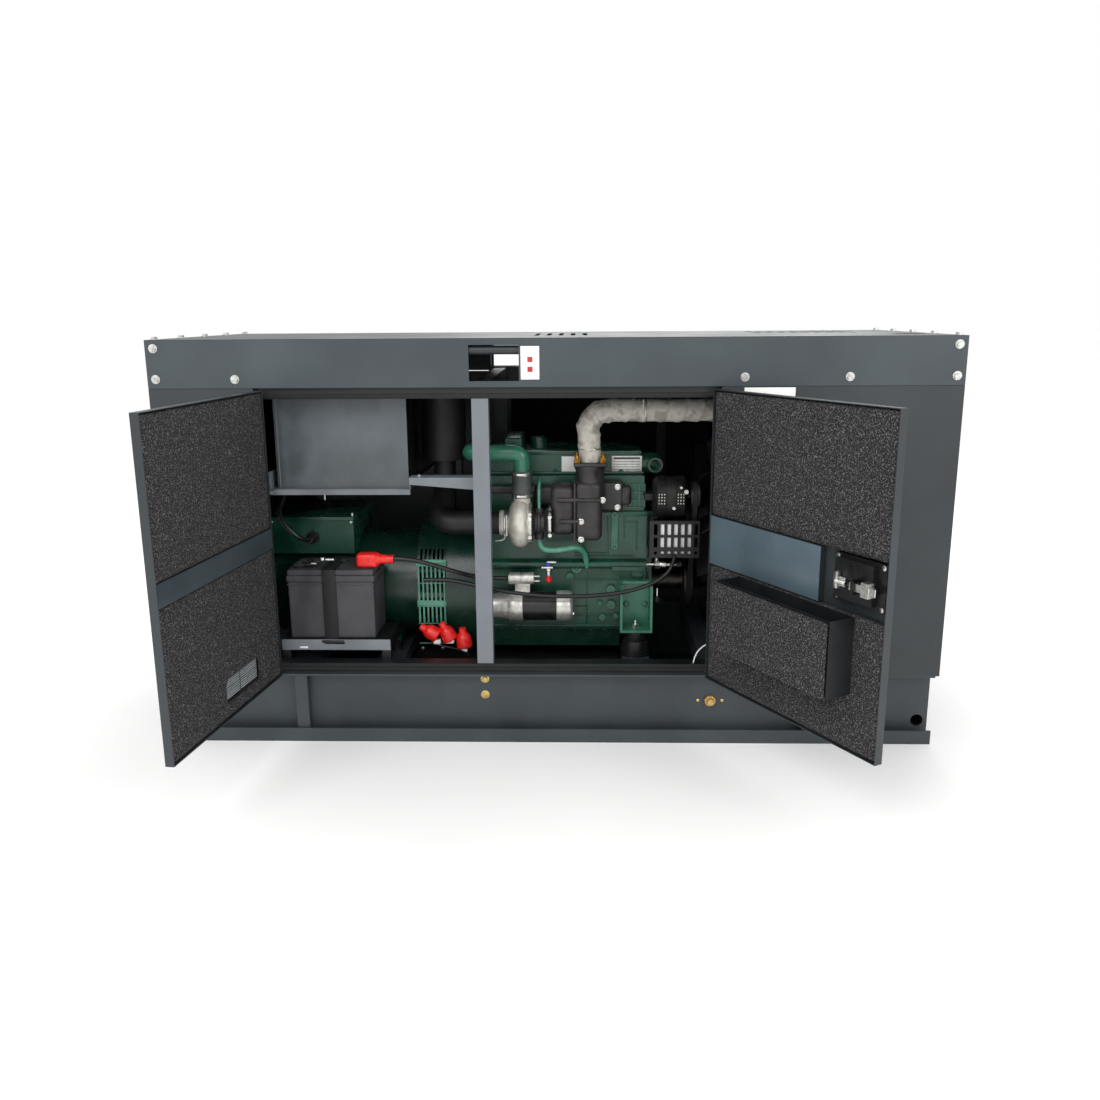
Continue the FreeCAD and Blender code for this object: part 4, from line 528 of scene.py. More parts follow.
# Pale grey satin plastic for the louvre slats.
louvre_grey = finish("moulded grey ABS", ["#8e9496", "#a3a8aa"], 30, 1.2, 0.04, (0.4, 0.5))
fit(swing(joined("grille_slats", *slats), LEFT_HINGE), louvre_grey, "left_door", "left_door_panel")


# ---- right front door, its air baffle and its latch ----
# The same tray with a wider stiffener, a foam-faced baffle box that turns the air, and a flush paddle
# latch in a black pressed box with its spring bolt and screws of bright zinc.

# The hinge line's place in mm, and the turn in degrees from shut to this pose.
RIGHT_HINGE = (454, -421.5, 119.3)
dress(canopy_coat, "right_door_panel")
# The baffle takes the frame's enamel, so it is darkened with painted shade too.
dress(frame_coat_painted_shade, "right_door_baffle")
pad(swing(slab("right_door_foam_upper", (-193, -413, 687), (447, -393, 1022)), RIGHT_HINGE),
    foam, "right_door", "right_door_foam", "right_door_foam")
pad(swing(slab("right_door_foam_lower", (-193, -413, 216), (447, -393, 547)), RIGHT_HINGE),
    foam, "right_door", "right_door_foam")
pad(swing(slab("baffle_foam", (-106, -318, 355), (314, -303, 543)), RIGHT_HINGE), foam,
    "right_door", "right_door_foam")
fit(swing(block("right_stiffener_face", (18.5, -396, 550), (448, -394.8, 684), 0.5), RIGHT_HINGE),
    stiffener_coat, "right_door", "right_door_panel")
# Electro-coated pressing: deep black, smooth and slightly glossy.
latch_black = finish("black e-coated pressed steel", ["#070708", "#101012"], 40, 1.2, 0.04, (0.25, 0.4))
dress(latch_black, "latch_housing", "latch_paddle")
fit(swing(repeated("latch_screws", turned("screw", "y", (0, 0), [(0, 6), (1.2, 6), (2, 4)], 20),
                   [(x, -393, z) for x in (-184, -43) for z in (580, 676)]), RIGHT_HINGE),
    zinc, "right_door", "latch_housing")
dress(zinc, "latch_bolt")
BOLT_LINE = (-371, 623)
spring = turned("spring_core", "x", BOLT_LINE, [(-94, 4), (-62, 4)], 16)
WIRE_PITCH = 4
coils = [turned("coil", "x", BOLT_LINE, [(start, 5.6), (start + 1.4, 6.6), (start + 2.8, 5.6)], 20)
         for start in range(-94, -64, WIRE_PITCH)]
fit(swing(joined("latch_spring", spring, *coils), RIGHT_HINGE), zinc, "right_door", "latch_housing")
fit(swing(joined("latch_link", block("arm", (-86, -379, 612), (-52, -375, 634), 1.2),
                 block("arm", (-70, -379, 606), (-58, -366, 646), 1.5)), RIGHT_HINGE),
    zinc, "right_door", "latch_housing")


# ---- rear control door ----
# A smaller tray on the back with a clear pane over the controls and a black quarter-turn latch; beside
# it sits the emergency stop, a red mushroom button in a yellow collar.

dress(canopy_coat, "control_door")
# Clear polycarbonate with a light smoke tint.
pane = finish("clear polycarbonate sheet", ["#c4cccd", "#ccd3d4"], 200, 8, 0.01, (0.04, 0.08),
              {"Transmission Weight": 0.9, "IOR": 1.58})
dress(pane, "control_window")
# Glass-filled nylon: black with a faint moulded grain, satin.
nylon = finish("moulded black nylon", ["#101011", "#1b1b1c"], 14, 0.9, 0.05, (0.38, 0.5))
dress(nylon, "control_latch")
# Acetal: bright red, hard and glossy.
stop_red = finish("moulded red acetal", ["#c01a1c", "#cf2422"], 12, 1.5, 0.02, (0.22, 0.32))
dress(stop_red, "estop_button")
# Moulded ABS: warm yellow, satin.
stop_yellow = finish("moulded yellow ABS", ["#d9a514", "#e5b224"], 20, 1.5, 0.03, (0.35, 0.45))
fit(turned("stop_collar", "y", (-300, 900), [(415, 33), (417, 33), (419, 31), (419, 21), (417, 20)], 48),
    stop_yellow, "canopy", "fixed_panels")


# ---- control cabinet, shelf, controller and breaker ----
# A folded steel cabinet in semi-gloss grey stands on a lipped shelf, which an arm ties to the post. In
# it are the controller with its blank screen and keys, and the main breaker with its lever.

# Rolled-on enamel: broad soft patches that paint a little reflection of the surroundings into its colour. The
# right side is darkened with painted shade.
cabinet_coat_painted_light = finish("semi-gloss grey-blue enamel, painted reflection and shade", ["#3f4549", "#5d6469", "#4b5155"], 300, 2.2, 0.05,
                      (0.18, 0.28))
tinted(cabinet_coat_painted_light, (-420, -294, 700), (-400, 380, 1060), "#121415")
# The same enamel, lighter and flatter.
shelf_coat = finish("satin light slate enamel", ["#676d73", "#7b8187"], 160, 1.6, 0.05, (0.36, 0.48))
dress(cabinet_coat_painted_light, "control_cabinet")
dress(shelf_coat, "cabinet_shelf")
# The tray's front lip is as light as the shelf; the rest is tinted almost black, as it lies in shade.
tray_coat = finish("satin light slate enamel, tray", ["#676d73", "#7b8187"], 160, 1.6, 0.05, (0.36, 0.48))
tinted(tray_coat, (-820, -344.5, 200), (-470, -100, 400), "#131516")
tinted(tray_coat, (-820, -350, 200), (-470, -100, 260.5), "#131516")
dress(tray_coat, "battery_tray")
dress(nylon, "controller", "main_breaker", "breaker_lever")
# Display glass: grey-green and glossy.
screen_glass = finish("grey-green display glass", ["#7f9484", "#879c8b"], 40, 3, 0.01, (0.06, 0.12))
fit(block("controller_screen", (-680, 371, 868), (-580, 373.2, 936), 1.0), screen_glass,
    "canopy", "controller")
# Silicone keys: soft and matt, each in its own colour.
key_shades = {"start": ("#1f8a43", -690), "stop": ("#c01a1c", -660), "auto": ("#3a5fa5", -630),
              "up": ("#8d9294", -600), "down": ("#8d9294", -570), "menu": ("#8d9294", -540)}
for key, (shade, x) in key_shades.items():
    rubber_key = finish("moulded silicone key, " + key, [shade, shade], 10, 1.2, 0.03, (0.5, 0.6))
    fit(turned("key_" + key, "y", (x, 834), [(372, 9), (374.2, 9), (375.6, 7.4)], 32),
        rubber_key, "canopy", "controller")
fit(repeated("cabinet_screws", bolt_head("z", 1, 5, 4), [(-384, -324, 775), (-395, -310, 758)]),
    zinc, "canopy", "cabinet_shelf")
fit(block("cabinet_seam", (-793, -296.2, 738), (-789.5, -295, 1028), 0.4), shelf_coat,
    "canopy", "control_cabinet")


# ---- battery, strap and terminal boots ----
# A starter battery in a grey-black polypropylene case with a stepped lid, strapped to a folded tray by
# black webbing. Red PVC boots cover its live terminal, and three spare ones are tied to the loom.

# Moulded case: grey-black, slightly waxy, with a fine grain.
polypropylene = finish("moulded grey-black polypropylene", ["#343336", "#424144"], 70, 1.6, 0.07, (0.4, 0.52))
case = block("battery_case", (-779, -335, 293), (-527, -175, 466), 5, 3)
rim = block("rim", (-782, -338, 466), (-524, -172, 484), 2.5, 2)
lid = block("lid", (-779, -335, 484), (-527, -175, 501), 3, 2)
ledge = block("ledge", (-781, -337, 455), (-525, -173, 460), 1.5, 2)
CELLS, FIRST_CELL, CELL_PITCH = 6, -760, 41.5
CAP_RINGS = [(500, 13), (504, 13), (505.5, 11.5), (505.5, 5), (504, 4)]
caps = [turned("cap", "z", (FIRST_CELL + CELL_PITCH * place, -225), CAP_RINGS) for place in range(CELLS)]
fit(joined("battery_shell", case, rim, lid, ledge, *caps), polypropylene, "canopy", "battery", "battery")
# Cast lead: dull grey metal with soft pits.
lead = finish("cast lead", ["#6c6e70", "#8b8d8f"], 8, 0.8, 0.06, (0.45, 0.6), {"Metallic": 1.0})
fit(joined("battery_posts", turned("post", "z", (-750, -300), [(500, 10), (517, 9)]),
           turned("post", "z", (-556, -300), [(500, 10), (516, 9)])), lead, "canopy", "battery")
fit(joined("earth_clamp", block("clamp", (-766, -316, 503), (-734, -284, 516), 4, 3),
           block("jaw", (-742, -308, 505), (-716, -292, 514), 3, 2)), rubber, "canopy", "battery")
EARTH_LINE = (-300, 524)
fit(joined("earth_clamp_bolts", turned("stud", "x", (-300, 512), [(-716, 4), (-700, 4)], 16),
           turned("stud", "x", EARTH_LINE, [(-672, 5), (-648, 5), (-646, 3)], 16),
           turned("nut", "x", EARTH_LINE, [(-684, 7), (-676, 7)], 6)), zinc, "canopy", "battery")


# A wave texture repeats every 0.314 at scale 1.
WAVE_REPEAT = 0.314


def ribbed(name, shades, pitch, direction, depth, roughness):
    """A finish with straight ribs at a pitch in mm, such as webbing or radiator fins."""
    made = finish(name, shades, 40, 1.0, 0.02, roughness)
    tree = made.node_tree
    place = add_node(tree, "ShaderNodeTexCoord")
    ribs = add_node(tree, "ShaderNodeTexWave",
                    {"Vector": (place, "Object"), "Scale": WAVE_REPEAT / (pitch * MM)},
                    bands_direction=direction)
    relief = add_node(tree, "ShaderNodeBump", {"Height": (ribs, "Fac"), "Distance": depth * MM})
    tree.links.new(relief.outputs["Normal"], tree.nodes["Principled BSDF"].inputs["Normal"])
    return made


# Woven polypropylene webbing: flat black ribs across the strap, 2.4 mm apart, a little shiny.
webbing = ribbed("woven polypropylene webbing", ["#0b0b0c", "#161617"], 2.4, "Z", 0.5, (0.45, 0.6))
strap_front = block("strap", (-677, -341, 287), (-637, -338, 504), 1.2)
strap_top = block("strap", (-677, -341, 501.5), (-637, -172, 504), 1.2)
strap_back = block("strap", (-677, -172, 293), (-637, -170.3, 504), 0.7)
fit(joined("hold_down_strap", strap_front, strap_top, strap_back), webbing,
    "canopy", "battery_strap", "battery_strap")
fit(joined("strap_hook", block("hook", (-684, -349, 283), (-620, -346.8, 291), 1.0),
           block("hook", (-684, -349, 283), (-680, -342, 291), 1.0)), tank_coat, "canopy", "battery_tray")
fit(block("tray_sticker", (-752, -347.6, 266), (-728, -347, 272), 0.2), vinyl, "canopy", "battery_tray")
# Dipped PVC: saturated red, glossy and slightly see-through in the thin parts.
red_vinyl = finish("dipped red PVC", ["#dd1512", "#ee2a22"], 18, 2, 0.05, (0.25, 0.36),
                   {"Subsurface Weight": 0.12, "Subsurface Scale": 0.01})
NECK_RINGS = [(-524, 20), (-514, 18), (-508, 14), (-478, 11.5), (-474, 12.6), (-471, 12.6)]
boot = joined("positive_boot", block("boot", (-579, -321, 503), (-517, -279, 545), 10, 4),
              turned("neck", "x", (-300, 526), NECK_RINGS, 28))
fit(boot, red_vinyl, "canopy", "terminal_boots", "terminal_boots")
BOOT_RINGS = [(-36, 10), (-20, 12), (-14, 18), (-6, 22), (22, 24), (25, 22), (25, 18), (10, 17)]
SPARE_Y = -245
SPARE_BOOTS = [("spare_boot_1", -378, 284, 30), ("spare_boot_2", -328, 282, 62),
               ("spare_boot_3", -278, 262, 84)]
for name, x, z, tilt in SPARE_BOOTS:
    spare = turned(name, "x", (SPARE_Y, z), [(x + step, radius) for step, radius in BOOT_RINGS], 28)
    here = Matrix.Translation(Vector((x, SPARE_Y, z)) * MM)
    spare.data.transform(here @ Matrix.Rotation(math.radians(tilt), 4, "Y") @ here.inverted())
    fit(spare, red_vinyl, "canopy", "terminal_boots")
# Moulded nylon: off-white, satin.
white_nylon = finish("moulded white nylon", ["#d9dad6", "#ebebe7"], 12, 1.2, 0.03, (0.35, 0.45))
fit(joined("spare_boot_plugs", block("plug", (-368, -264, 250), (-346, -246, 264), 3),
           block("plug", (-330, -264, 252), (-306, -246, 266), 3),
           block("plug", (-284, -264, 226), (-266, -246, 238), 3)), white_nylon, "canopy", "terminal_boots")
TIE_RADIUS = 2.2
tie_route = [(-360, -262, 250), (-330, -268, 244), (-300, -266, 238), (-270, -262, 226), (-262, -256, 214)]
laid(line("boot_tie", tie_route, TIE_RADIUS, MM), nylon, "terminal_boots")


# ---- engine block, head, rocker cover, oil pan and bell housing ----
# Grey iron castings sprayed all over with green engine enamel after assembly: ribs, bosses and pads on
# the crankcase, a cast cover on top with a raised breather, and a pressed oil pan held by small bolts.

# Sprayed enamel over rough castings: dark, wet-looking green that shows the sand-cast skin beneath. A darker
# copy paints shade on the oil pan, the bell housing and the alternator's frame, and a lighter copy paints
# highlights on small parts.
enamel = finish("green engine enamel on cast iron", ["#103528", "#194839", "#133d2f"], 130, 3.2, 0.35,
                (0.2, 0.34))
enamel_painted_shade = finish("green engine enamel, painted shade", ["#0a241b", "#0f3024", "#0c2a1f"], 150, 3.2, 0.30,
                     (0.22, 0.36))
enamel_painted_highlight = finish("green engine enamel, painted highlight", ["#235844", "#32705a"], 90, 2.4, 0.15, (0.16, 0.28))
dress(enamel, "engine_block", "cylinder_head", "rocker_cover")
dress(enamel_painted_shade, "oil_pan", "flywheel_housing")
RIBS = [((158, -164.5, 500), (163, -160, 640), 1.5), ((60, -164.5, 508), (158, -160, 513), 1.5),
        ((208, -164.5, 556), (212, -160, 640), 1.5), ((208, -164.5, 606), (250, -160, 610), 1.5),
        ((246, -164.5, 520), (250, -160, 610), 1.5), ((60, -165, 500), (240, -160, 504), 1.5),
        ((95, -164, 285), (99, -160, 455), 1.5), ((60, -164, 312), (190, -160, 316), 1.5),
        ((60, -164, 425), (190, -160, 429), 1.5), ((60, -164, 340), (95, -160, 343), 1.2),
        ((-236, -166, 276), (276, -160, 283), 2.0), ((-236, -166, 626), (276, -160, 639), 2.0),
        ((173, -190, 458), (276, -160, 474), 3), ((232, -172, 436), (272, -160, 458), 4),
        ((-200, -165, 290), (-195, -160, 460), 1.5), ((-150, -165, 290), (-145, -160, 460), 1.5),
        ((-100, -165, 290), (-95, -160, 460), 1.5)]
ribs = [block("rib", low, high, edge) for low, high, edge in RIBS]
fit(joined("crankcase_ribs", *ribs), enamel, "canopy", "engine_block")
BOSSES = [((171, 398), 14), ((172, 349), 14), ((145, 309), 11), ((138, 352), 9), ((186, 312), 9),
          ((66, 466), 16), ((45, 440), 11)]
bosses = []
for spot, size in BOSSES:
    rings = [(-158, size), (-172, size), (-174, size - 1.5), (-174, size * 0.5), (-170, size * 0.45)]
    bosses.append(turned("boss", "y", spot, rings, 28))
fit(joined("crankcase_bosses", *bosses), enamel_painted_highlight, "canopy", "engine_block")
LINK_END = [(-160, 13), (-166, 13), (-168, 11), (-168, 6), (-164, 5)]
link = joined("link_plate", block("bar", (170, -167, 533), (192, -160, 628), 2),
              turned("end", "y", (181, 628), LINK_END), turned("end", "y", (181, 533), LINK_END))
fit(link, enamel_painted_highlight, "canopy", "engine_block")
grid = [block("rib", (212, -156, z), (273, -150, z + 3), 0.8) for z in (650, 672, 696, 721)]
grid += [block("rib", (x, -156, 650), (x + 3, -150, 724), 0.8) for x in (212, 226, 240, 254, 270)]
fit(joined("head_ribs", *grid), enamel_painted_highlight, "canopy", "cylinder_head")
fit(joined("cover_flange", block("flange", (-222, -124, 747), (270, 124, 756), 2.5),
           block("breather", (-153, -112, 812), (-99, 60, 858), 6, 3),
           block("ridge", (-90, -119.5, 806), (262, -60, 819), 3, 2)), enamel, "canopy", "rocker_cover")
cover_spots = [(x, y, 756) for x in (-200, -110, 0, 110, 200) for y in (-119, 119)]
fit(repeated("cover_bolts", bolt_head("z", 1, 6, 5), cover_spots), enamel_painted_highlight, "canopy", "rocker_cover")
OUTLET_RINGS = [(-64, 22), (-118, 21), (-121, 23), (-124, 23), (-124, 17), (-100, 16)]
fit(joined("thermostat_housing", turned("body", "x", (-72, 775), [(262, 34), (300, 34), (318, 28)], 36),
           turned("outlet", "y", (304, 775), OUTLET_RINGS, 36)), enamel, "canopy", "cylinder_head")
pan_spots = [(x, y, 268) for x in range(-215, 200, 46) for y in (-150, 150)]
fit(repeated("pan_bolts", bolt_head("z", -1, 5, 4), pan_spots), enamel_painted_highlight, "canopy", "oil_pan")
# Anodised foil: pale silver with a fine brushed haze.
anodised = finish("brushed anodised aluminium label", ["#aeb0ac", "#c6c7c2"], 12, 0.7, 0.02, (0.3, 0.42),
                  {"Metallic": 0.8})
fit(block("cover_nameplate", (172, -119.4, 752), (264, -118, 803), 0.5), anodised, "canopy", "rocker_cover")
# Etched and filled panels: flat charcoal.
plate_ink = finish("black etched panel", ["#2e302f", "#3b3d3c"], 10, 0.8, 0.02, (0.45, 0.6))
fields = [block("field", (178, -119.8, z), (258, -119.4, z + 1.6), 0.2, 1) for z in (761, 769, 777, 785)]
fields.append(block("field", (178, -119.8, 793), (258, -119.4, 799), 0.2, 1))
fit(joined("cover_nameplate_fields", *fields), plate_ink, "canopy", "rocker_cover")
fit(block("cover_label", (20, -119.2, 752), (64, -118, 802), 0.4), vinyl, "canopy", "rocker_cover")
# Phosphated and oiled steel: brown-black metal with a dull shine.
steel_dark = finish("phosphated dark steel", ["#3c3b3a", "#55524f"], 12, 0.9, 0.05, (0.35, 0.5),
                    {"Metallic": 1.0})
dress(steel_dark, "crankshaft", "generator_rotor", "alternator_pulley")
tinted(steel_dark, (-332, -230, 150), (-240, 230, 620), "#4d4a46")


# ---- pressure sender and primer fittings ----
# A steel pressure sender screwed into the oil gallery with its hexagon and silver body, and the fuel
# primer's steel body with a red tap below and a blue one above.

SENDER_LINE = (-176, 479)
SENDER_RINGS = [(316, 10), (318, 11), (336, 11), (338, 8), (382, 8), (385, 6)]
fit(joined("pressure_sender",
           turned("thread", "x", SENDER_LINE, [(270, 5), (300, 5), (303, 9), (306, 9), (309, 5)], 20),
           turned("hexagon", "x", SENDER_LINE, [(303, 14), (316, 14)], 6),
           turned("body", "x", SENDER_LINE, SENDER_RINGS, 28),
           turned("plug", "z", (309, -176), [(479, 6), (498, 6), (500, 4)], 16)),
    zinc, "canopy", "engine_block")
PRIMER_LINE = (-19, -214)
PRIMER_RINGS = [(440, 7), (468, 7), (470, 11), (480, 11), (482, 7), (500, 6)]
fit(joined("primer_body", turned("body", "z", PRIMER_LINE, PRIMER_RINGS, 20),
           turned("arm", "x", (-222, 497), [(-24, 4), (4, 4)], 14),
           turned("arm", "x", (-222, 480), [(-40, 4), (-6, 4)], 14)), zinc, "canopy", "starter_motor")
fit(joined("primer_tap_red", turned("tap", "z", (-19, -222), [(434, 5), (439, 9), (449, 9), (454, 5)], 16)),
    stop_red, "canopy", "starter_motor")
# Blue acetal, as glossy as the red.
tap_blue = finish("moulded blue acetal", ["#1f3aa0", "#2a49b5"], 12, 1.5, 0.02, (0.3, 0.4))
fit(joined("primer_tap_blue", turned("tap", "z", (-22, -222), [(484, 4), (487, 7), (494, 7), (497, 4)], 16)),
    tap_blue, "canopy", "starter_motor")


# ---- fan, belt and charging alternator ----
# A moulded nylon fan on the water pump, a rubber V-belt round three pulleys, and an automotive
# alternator with cast end shields, a laminated body and cooling slots.

dress(nylon, "cooling_fan")
dress(rubber, "fan_belt")
# Die-casting drawn near-black, with a pebbled skin.
cast_dark = finish("die-cast aluminium, near-black", ["#1b1b1c", "#2c2c2c"], 26, 1.6, 0.12, (0.42, 0.6),
                   {"Metallic": 0.6})
CHARGER_LINE = (-175, 690)
fit(joined("charger_shields",
           turned("shield", "x", CHARGER_LINE, [(292, 40), (296, 52), (304, 60), (330, 61)], 40),
           turned("shield", "x", CHARGER_LINE, [(356, 61), (384, 60), (394, 50), (398, 30)], 40),
           block("bracket", (268, -196, 680), (304, -92, 700), 3),
           block("ear", (300, -186, 628), (318, -164, 650), 3)), cast_dark, "canopy", "charging_alternator",
    "charging_alternator")
# Stacked laminations: fine dark rings under varnish.
laminated = ribbed("laminated steel, varnished", ["#161617", "#242424"], 1.6, "X", 0.3, (0.4, 0.55))
fit(turned("charger_laminations", "x", CHARGER_LINE, [(329, 58), (331, 58.5), (355, 58.5), (357, 58)], 40),
    laminated, "canopy", "charging_alternator")
fins = [block("fin", (306 + step, -240, 676 + 9 * row), (310 + step, -233, 681 + 9 * row), 0.8, 1)
        for step in (0, 8, 16, 56, 64, 72) for row in range(4)]
fit(joined("charger_vents", *fins), zinc, "canopy", "charging_alternator")
fit(joined("charger_studs", turned("stud", "y", (372, 726), [(-224, 6), (-240, 6), (-242, 4)], 6),
           turned("stud", "y", (388, 712), [(-222, 7), (-234, 7)], 6),
           turned("stud", "y", (352, 664), [(-224, 5), (-238, 5)], 6)), zinc, "canopy", "charging_alternator")


# ---- turbocharger ----
# A machined and shot-blasted aluminium compressor cover with its inlet collar and upright outlet, a
# black iron centre, and bright band clamps; the feed pipe above it is painted with the engine.

# Blasted aluminium: pale warm grey, matt, with a sandy grain.
shot_blasted = finish("shot-blasted cast aluminium", ["#b7b4aa", "#d2cfc5"], 20, 1.1, 0.12, (0.42, 0.55),
                      {"Metallic": 0.35})
TURBO_LINE = (-236, 622)
COVER_RINGS = [(-162, 30), (-162, 35), (-158, 37), (-150, 37), (-147, 34), (-136, 34), (-132, 44),
               (-127, 58), (-119, 67), (-109, 72), (-99, 73.5), (-90, 72.5), (-83, 68), (-78, 60),
               (-72, 58), (-69, 58)]
compressor = turned("cover", "x", TURBO_LINE, COVER_RINGS, 56)
CHARGE_LINE = (-95, -236)
outlet = turned("outlet", "z", CHARGE_LINE, [(650, 27), (676, 26), (690, 25), (706, 25)], 36)
fit(joined("compressor_cover", compressor, outlet), shot_blasted, "canopy", "turbocharger", "turbocharger")
# Heat-blackened iron: coarse, matt, brown-black.
black_iron = finish("heat-blackened cast iron", ["#1c1a1a", "#302d2e", "#242122"], 45, 2.2, 0.28,
                    (0.42, 0.58))
CENTRE_RINGS = [(-72, 50), (-64, 50), (-62, 40), (-56, 30), (-50, 30), (-48, 36), (-42, 36), (-40, 29),
                (-30, 29), (-26, 40), (-20, 46), (-8, 46)]
centre = turned("centre", "x", TURBO_LINE, CENTRE_RINGS, 44)
OIL_LINE = (-45, -236)
fit(joined("bearing_housing", centre, turned("feed", "z", OIL_LINE, [(640, 12), (664, 12)], 24),
           turned("return", "z", OIL_LINE, [(572, 14), (600, 14)], 24)), black_iron, "canopy", "turbocharger")
bands = [turned("band", "x", TURBO_LINE, [(left, r), (left, r + 3), (left + w, r + 3), (left + w, r)], 48)
         for left, w, r in ((-74, 8, 60), (-16, 7, 47), (-147, 14, 34.5))]
nuts = [turned("nut", "y", spot, [(-286, 6), (-300, 6)], 6)
        for spot in ((-70, 658), (-12, 650), (-12, 596), (-70, 590))]
fit(joined("turbo_clamps", *bands, *nuts, turned("bolt", "z", (-140, -274), [(590, 4), (652, 4)], 12)),
    zinc, "canopy", "turbocharger")
# Enamel on smooth pipe: glossier than on the castings, and paler as a painted highlight.
pale_enamel_painted_highlight = finish("pale green enamel on steel pipe, painted highlight", ["#3f7f6a", "#59947e"], 30, 1.6, 0.05, (0.2, 0.3))
PIPES = {
    "oil_feed_pipe": (4.5, [
        (-45, -236, 664), (-45, -236, 690), (-45, -232, 722), (-45, -200, 742), (-45, -150, 742)]),
    "oil_return_pipe": (8.5, [
        (-45, -236, 574), (-44, -238, 552), (-28, -240, 539), (0, -238, 537), (34, -234, 540),
        (64, -228, 545), (84, -212, 532), (92, -196, 510), (96, -184, 486), (97, -176, 472)]),
}
for name, (radius, route) in PIPES.items():
    laid(line(name, route, radius, MM), pale_enamel_painted_highlight, "turbocharger")
WIRE_RADIUS = 2.2
WIRE_ROUTE = [(-176, -262, 612), (-158, -262, 612), (-146, -262, 606), (-146, -262, 590),
              (-146, -262, 578), (-158, -262, 572), (-176, -262, 572)]
laid(line("latch_wire_loop", WIRE_ROUTE, WIRE_RADIUS, MM), zinc, "turbocharger")


# ---- exhaust manifold ----
# One heavy black casting: the turbine case and the upright elbow meet at a seam, with long cast ribs,
# bright bolts, a square flange on top and brass nuts that don't seize.

casting = joined(
    "manifold_casting", block("scroll", (-12, -252, 584), (62, -160, 734), 22, 5),
    block("elbow", (58, -255, 567), (141, -160, 745), 20, 5),
    block("seam", (57, -258, 566), (63, -160, 742), 2, 2),
    turned("neck", "z", (105, -205), [(700, 46), (738, 44), (746, 41), (772, 41), (780, 46), (789, 46)], 40),
    block("flange", (57, -251, 788), (153, -159, 800), 5, 3),
    block("ear", (110, -191, 647), (205, -158, 735), 9, 4),
    block("log", (-61, -188, 662), (230, -150, 722), 12, 3),
    block("log", (-195, -178, 698), (-58, -150, 722), 6, 3),
    turned("rib", "x", (-253, 692), [(8, 5), (12, 7), (138, 7), (142, 5)], 20),
    turned("rib", "x", (-253, 628), [(16, 5), (20, 7), (74, 7), (78, 5)], 20))
fit(casting, black_iron, "canopy", "exhaust_manifold", "exhaust_manifold")
heads = [(142, -255, 692), (79, -256, 628), (79, -255, 574), (188, -191, 720), (188, -191, 658)]
fit(repeated("manifold_bolts", bolt_head("y", -1, 6.5, 6), heads), zinc, "canopy", "exhaust_manifold")
# Brass: warm yellow metal, slightly dull.
brass = finish("turned brass", ["#a8752a", "#c99a4a"], 8, 0.8, 0.03, (0.3, 0.45), {"Metallic": 1.0})
nut = joined("nut", turned("nut", "z", (0, 0), [(0, 9), (12, 9), (14, 7.6)], 6),
             turned("stud", "z", (0, 0), [(10, 5), (22, 5)], 16))
fit(repeated("flange_nuts", nut, [(67, -240, 800), (143, -240, 800), (67, -170, 800), (143, -170, 800)]),
    brass, "canopy", "exhaust_manifold")


# ---- lagged exhaust pipe and muffler ----
# A steel pipe wound with pale fibreglass tape that laps over itself in a spiral, pulled in at the wire
# ties and wrinkled round the elbow; the muffler behind is plain aluminised steel.


def woven(name, shades, pitch, depth):
    """Plain-woven tape: threads over and under at a pitch in mm, drawn coarse enough to show."""
    made = finish(name, shades, 34, 1.0, 0.02, (0.72, 0.86))
    tree = made.node_tree
    place = add_node(tree, "ShaderNodeTexCoord")
    first = add_node(tree, "ShaderNodeTexWave",
                     {"Vector": (place, "Object"), "Scale": WAVE_REPEAT / (pitch * MM)},
                     bands_direction="X")
    second = add_node(tree, "ShaderNodeTexWave",
                      {"Vector": (place, "Object"), "Scale": WAVE_REPEAT / (pitch * MM)},
                      bands_direction="Z")
    both = add_node(tree, "ShaderNodeMath", {0: (first, "Fac"), 1: (second, "Fac")}, operation="MULTIPLY")
    relief = add_node(tree, "ShaderNodeBump", {"Height": (both, "Value"), "Distance": depth * MM})
    tree.links.new(relief.outputs["Normal"], tree.nodes["Principled BSDF"].inputs["Normal"])
    return made


# Glass tape: dusty cream, quite matt, with raised threads.
glass_tape = woven("woven fibreglass tape", ["#9a958b", "#c4c0b6", "#b0aca2"], 2.2, 0.5)
LAGGING_ROUTE = [(105, -205, 800), (105, -205, 824), (103, -205, 862), (98, -205, 908), (124, -205, 944),
                 (178, -205, 950), (240, -205, 949), (330, -205, 948), (430, -205, 949), (540, -205, 950),
                 (660, -205, 950)]
# A line's bevel has 14 points round it.
LAGGING_RADIUS, RING = 33.5, 14
TAPE_PITCH, LAP_RISE = 52, 4.2
TIE_PLACES, TIE_WIDTH, TIE_BITE, TIE_WIRE = (38, 268), 7, 4.5, 1.6
ELBOW_AT, ELBOW_REACH, ELBOW_SWELL = 105, 60, 5
CREASES = [(38, 2.4), (90, 1.4)]
lagging = line("exhaust_lagging", LAGGING_ROUTE, LAGGING_RADIUS, MM)
lagging.data.resolution_u = 20
only(lagging)
bpy.ops.object.convert(target="MESH")
lagging = bpy.context.active_object
points = lagging.data.vertices
rings = [range(first, first + RING) for first in range(0, len(points) // RING * RING, RING)]
along = 0.0
before = None
for ring in rings:
    middle = sum((points[place].co for place in ring), Vector()) / RING
    along += (middle - before).length if before else 0.0
    before = middle
    pinch = sum(math.exp(-((along / MM - tie) / TIE_WIDTH) ** 2) for tie in TIE_PLACES)
    swell = ELBOW_SWELL * math.exp(-((along / MM - ELBOW_AT) / ELBOW_REACH) ** 2)
    for turn, place in enumerate(ring):
        lap = (along / (TAPE_PITCH * MM) + turn / RING) % 1.0
        crease = sum(noise.noise(points[place].co * often) * tall for often, tall in CREASES)
        points[place].co += (points[place].co - middle).normalized() * MM * (
            LAP_RISE * lap ** 4 + crease + swell - TIE_BITE * pinch)
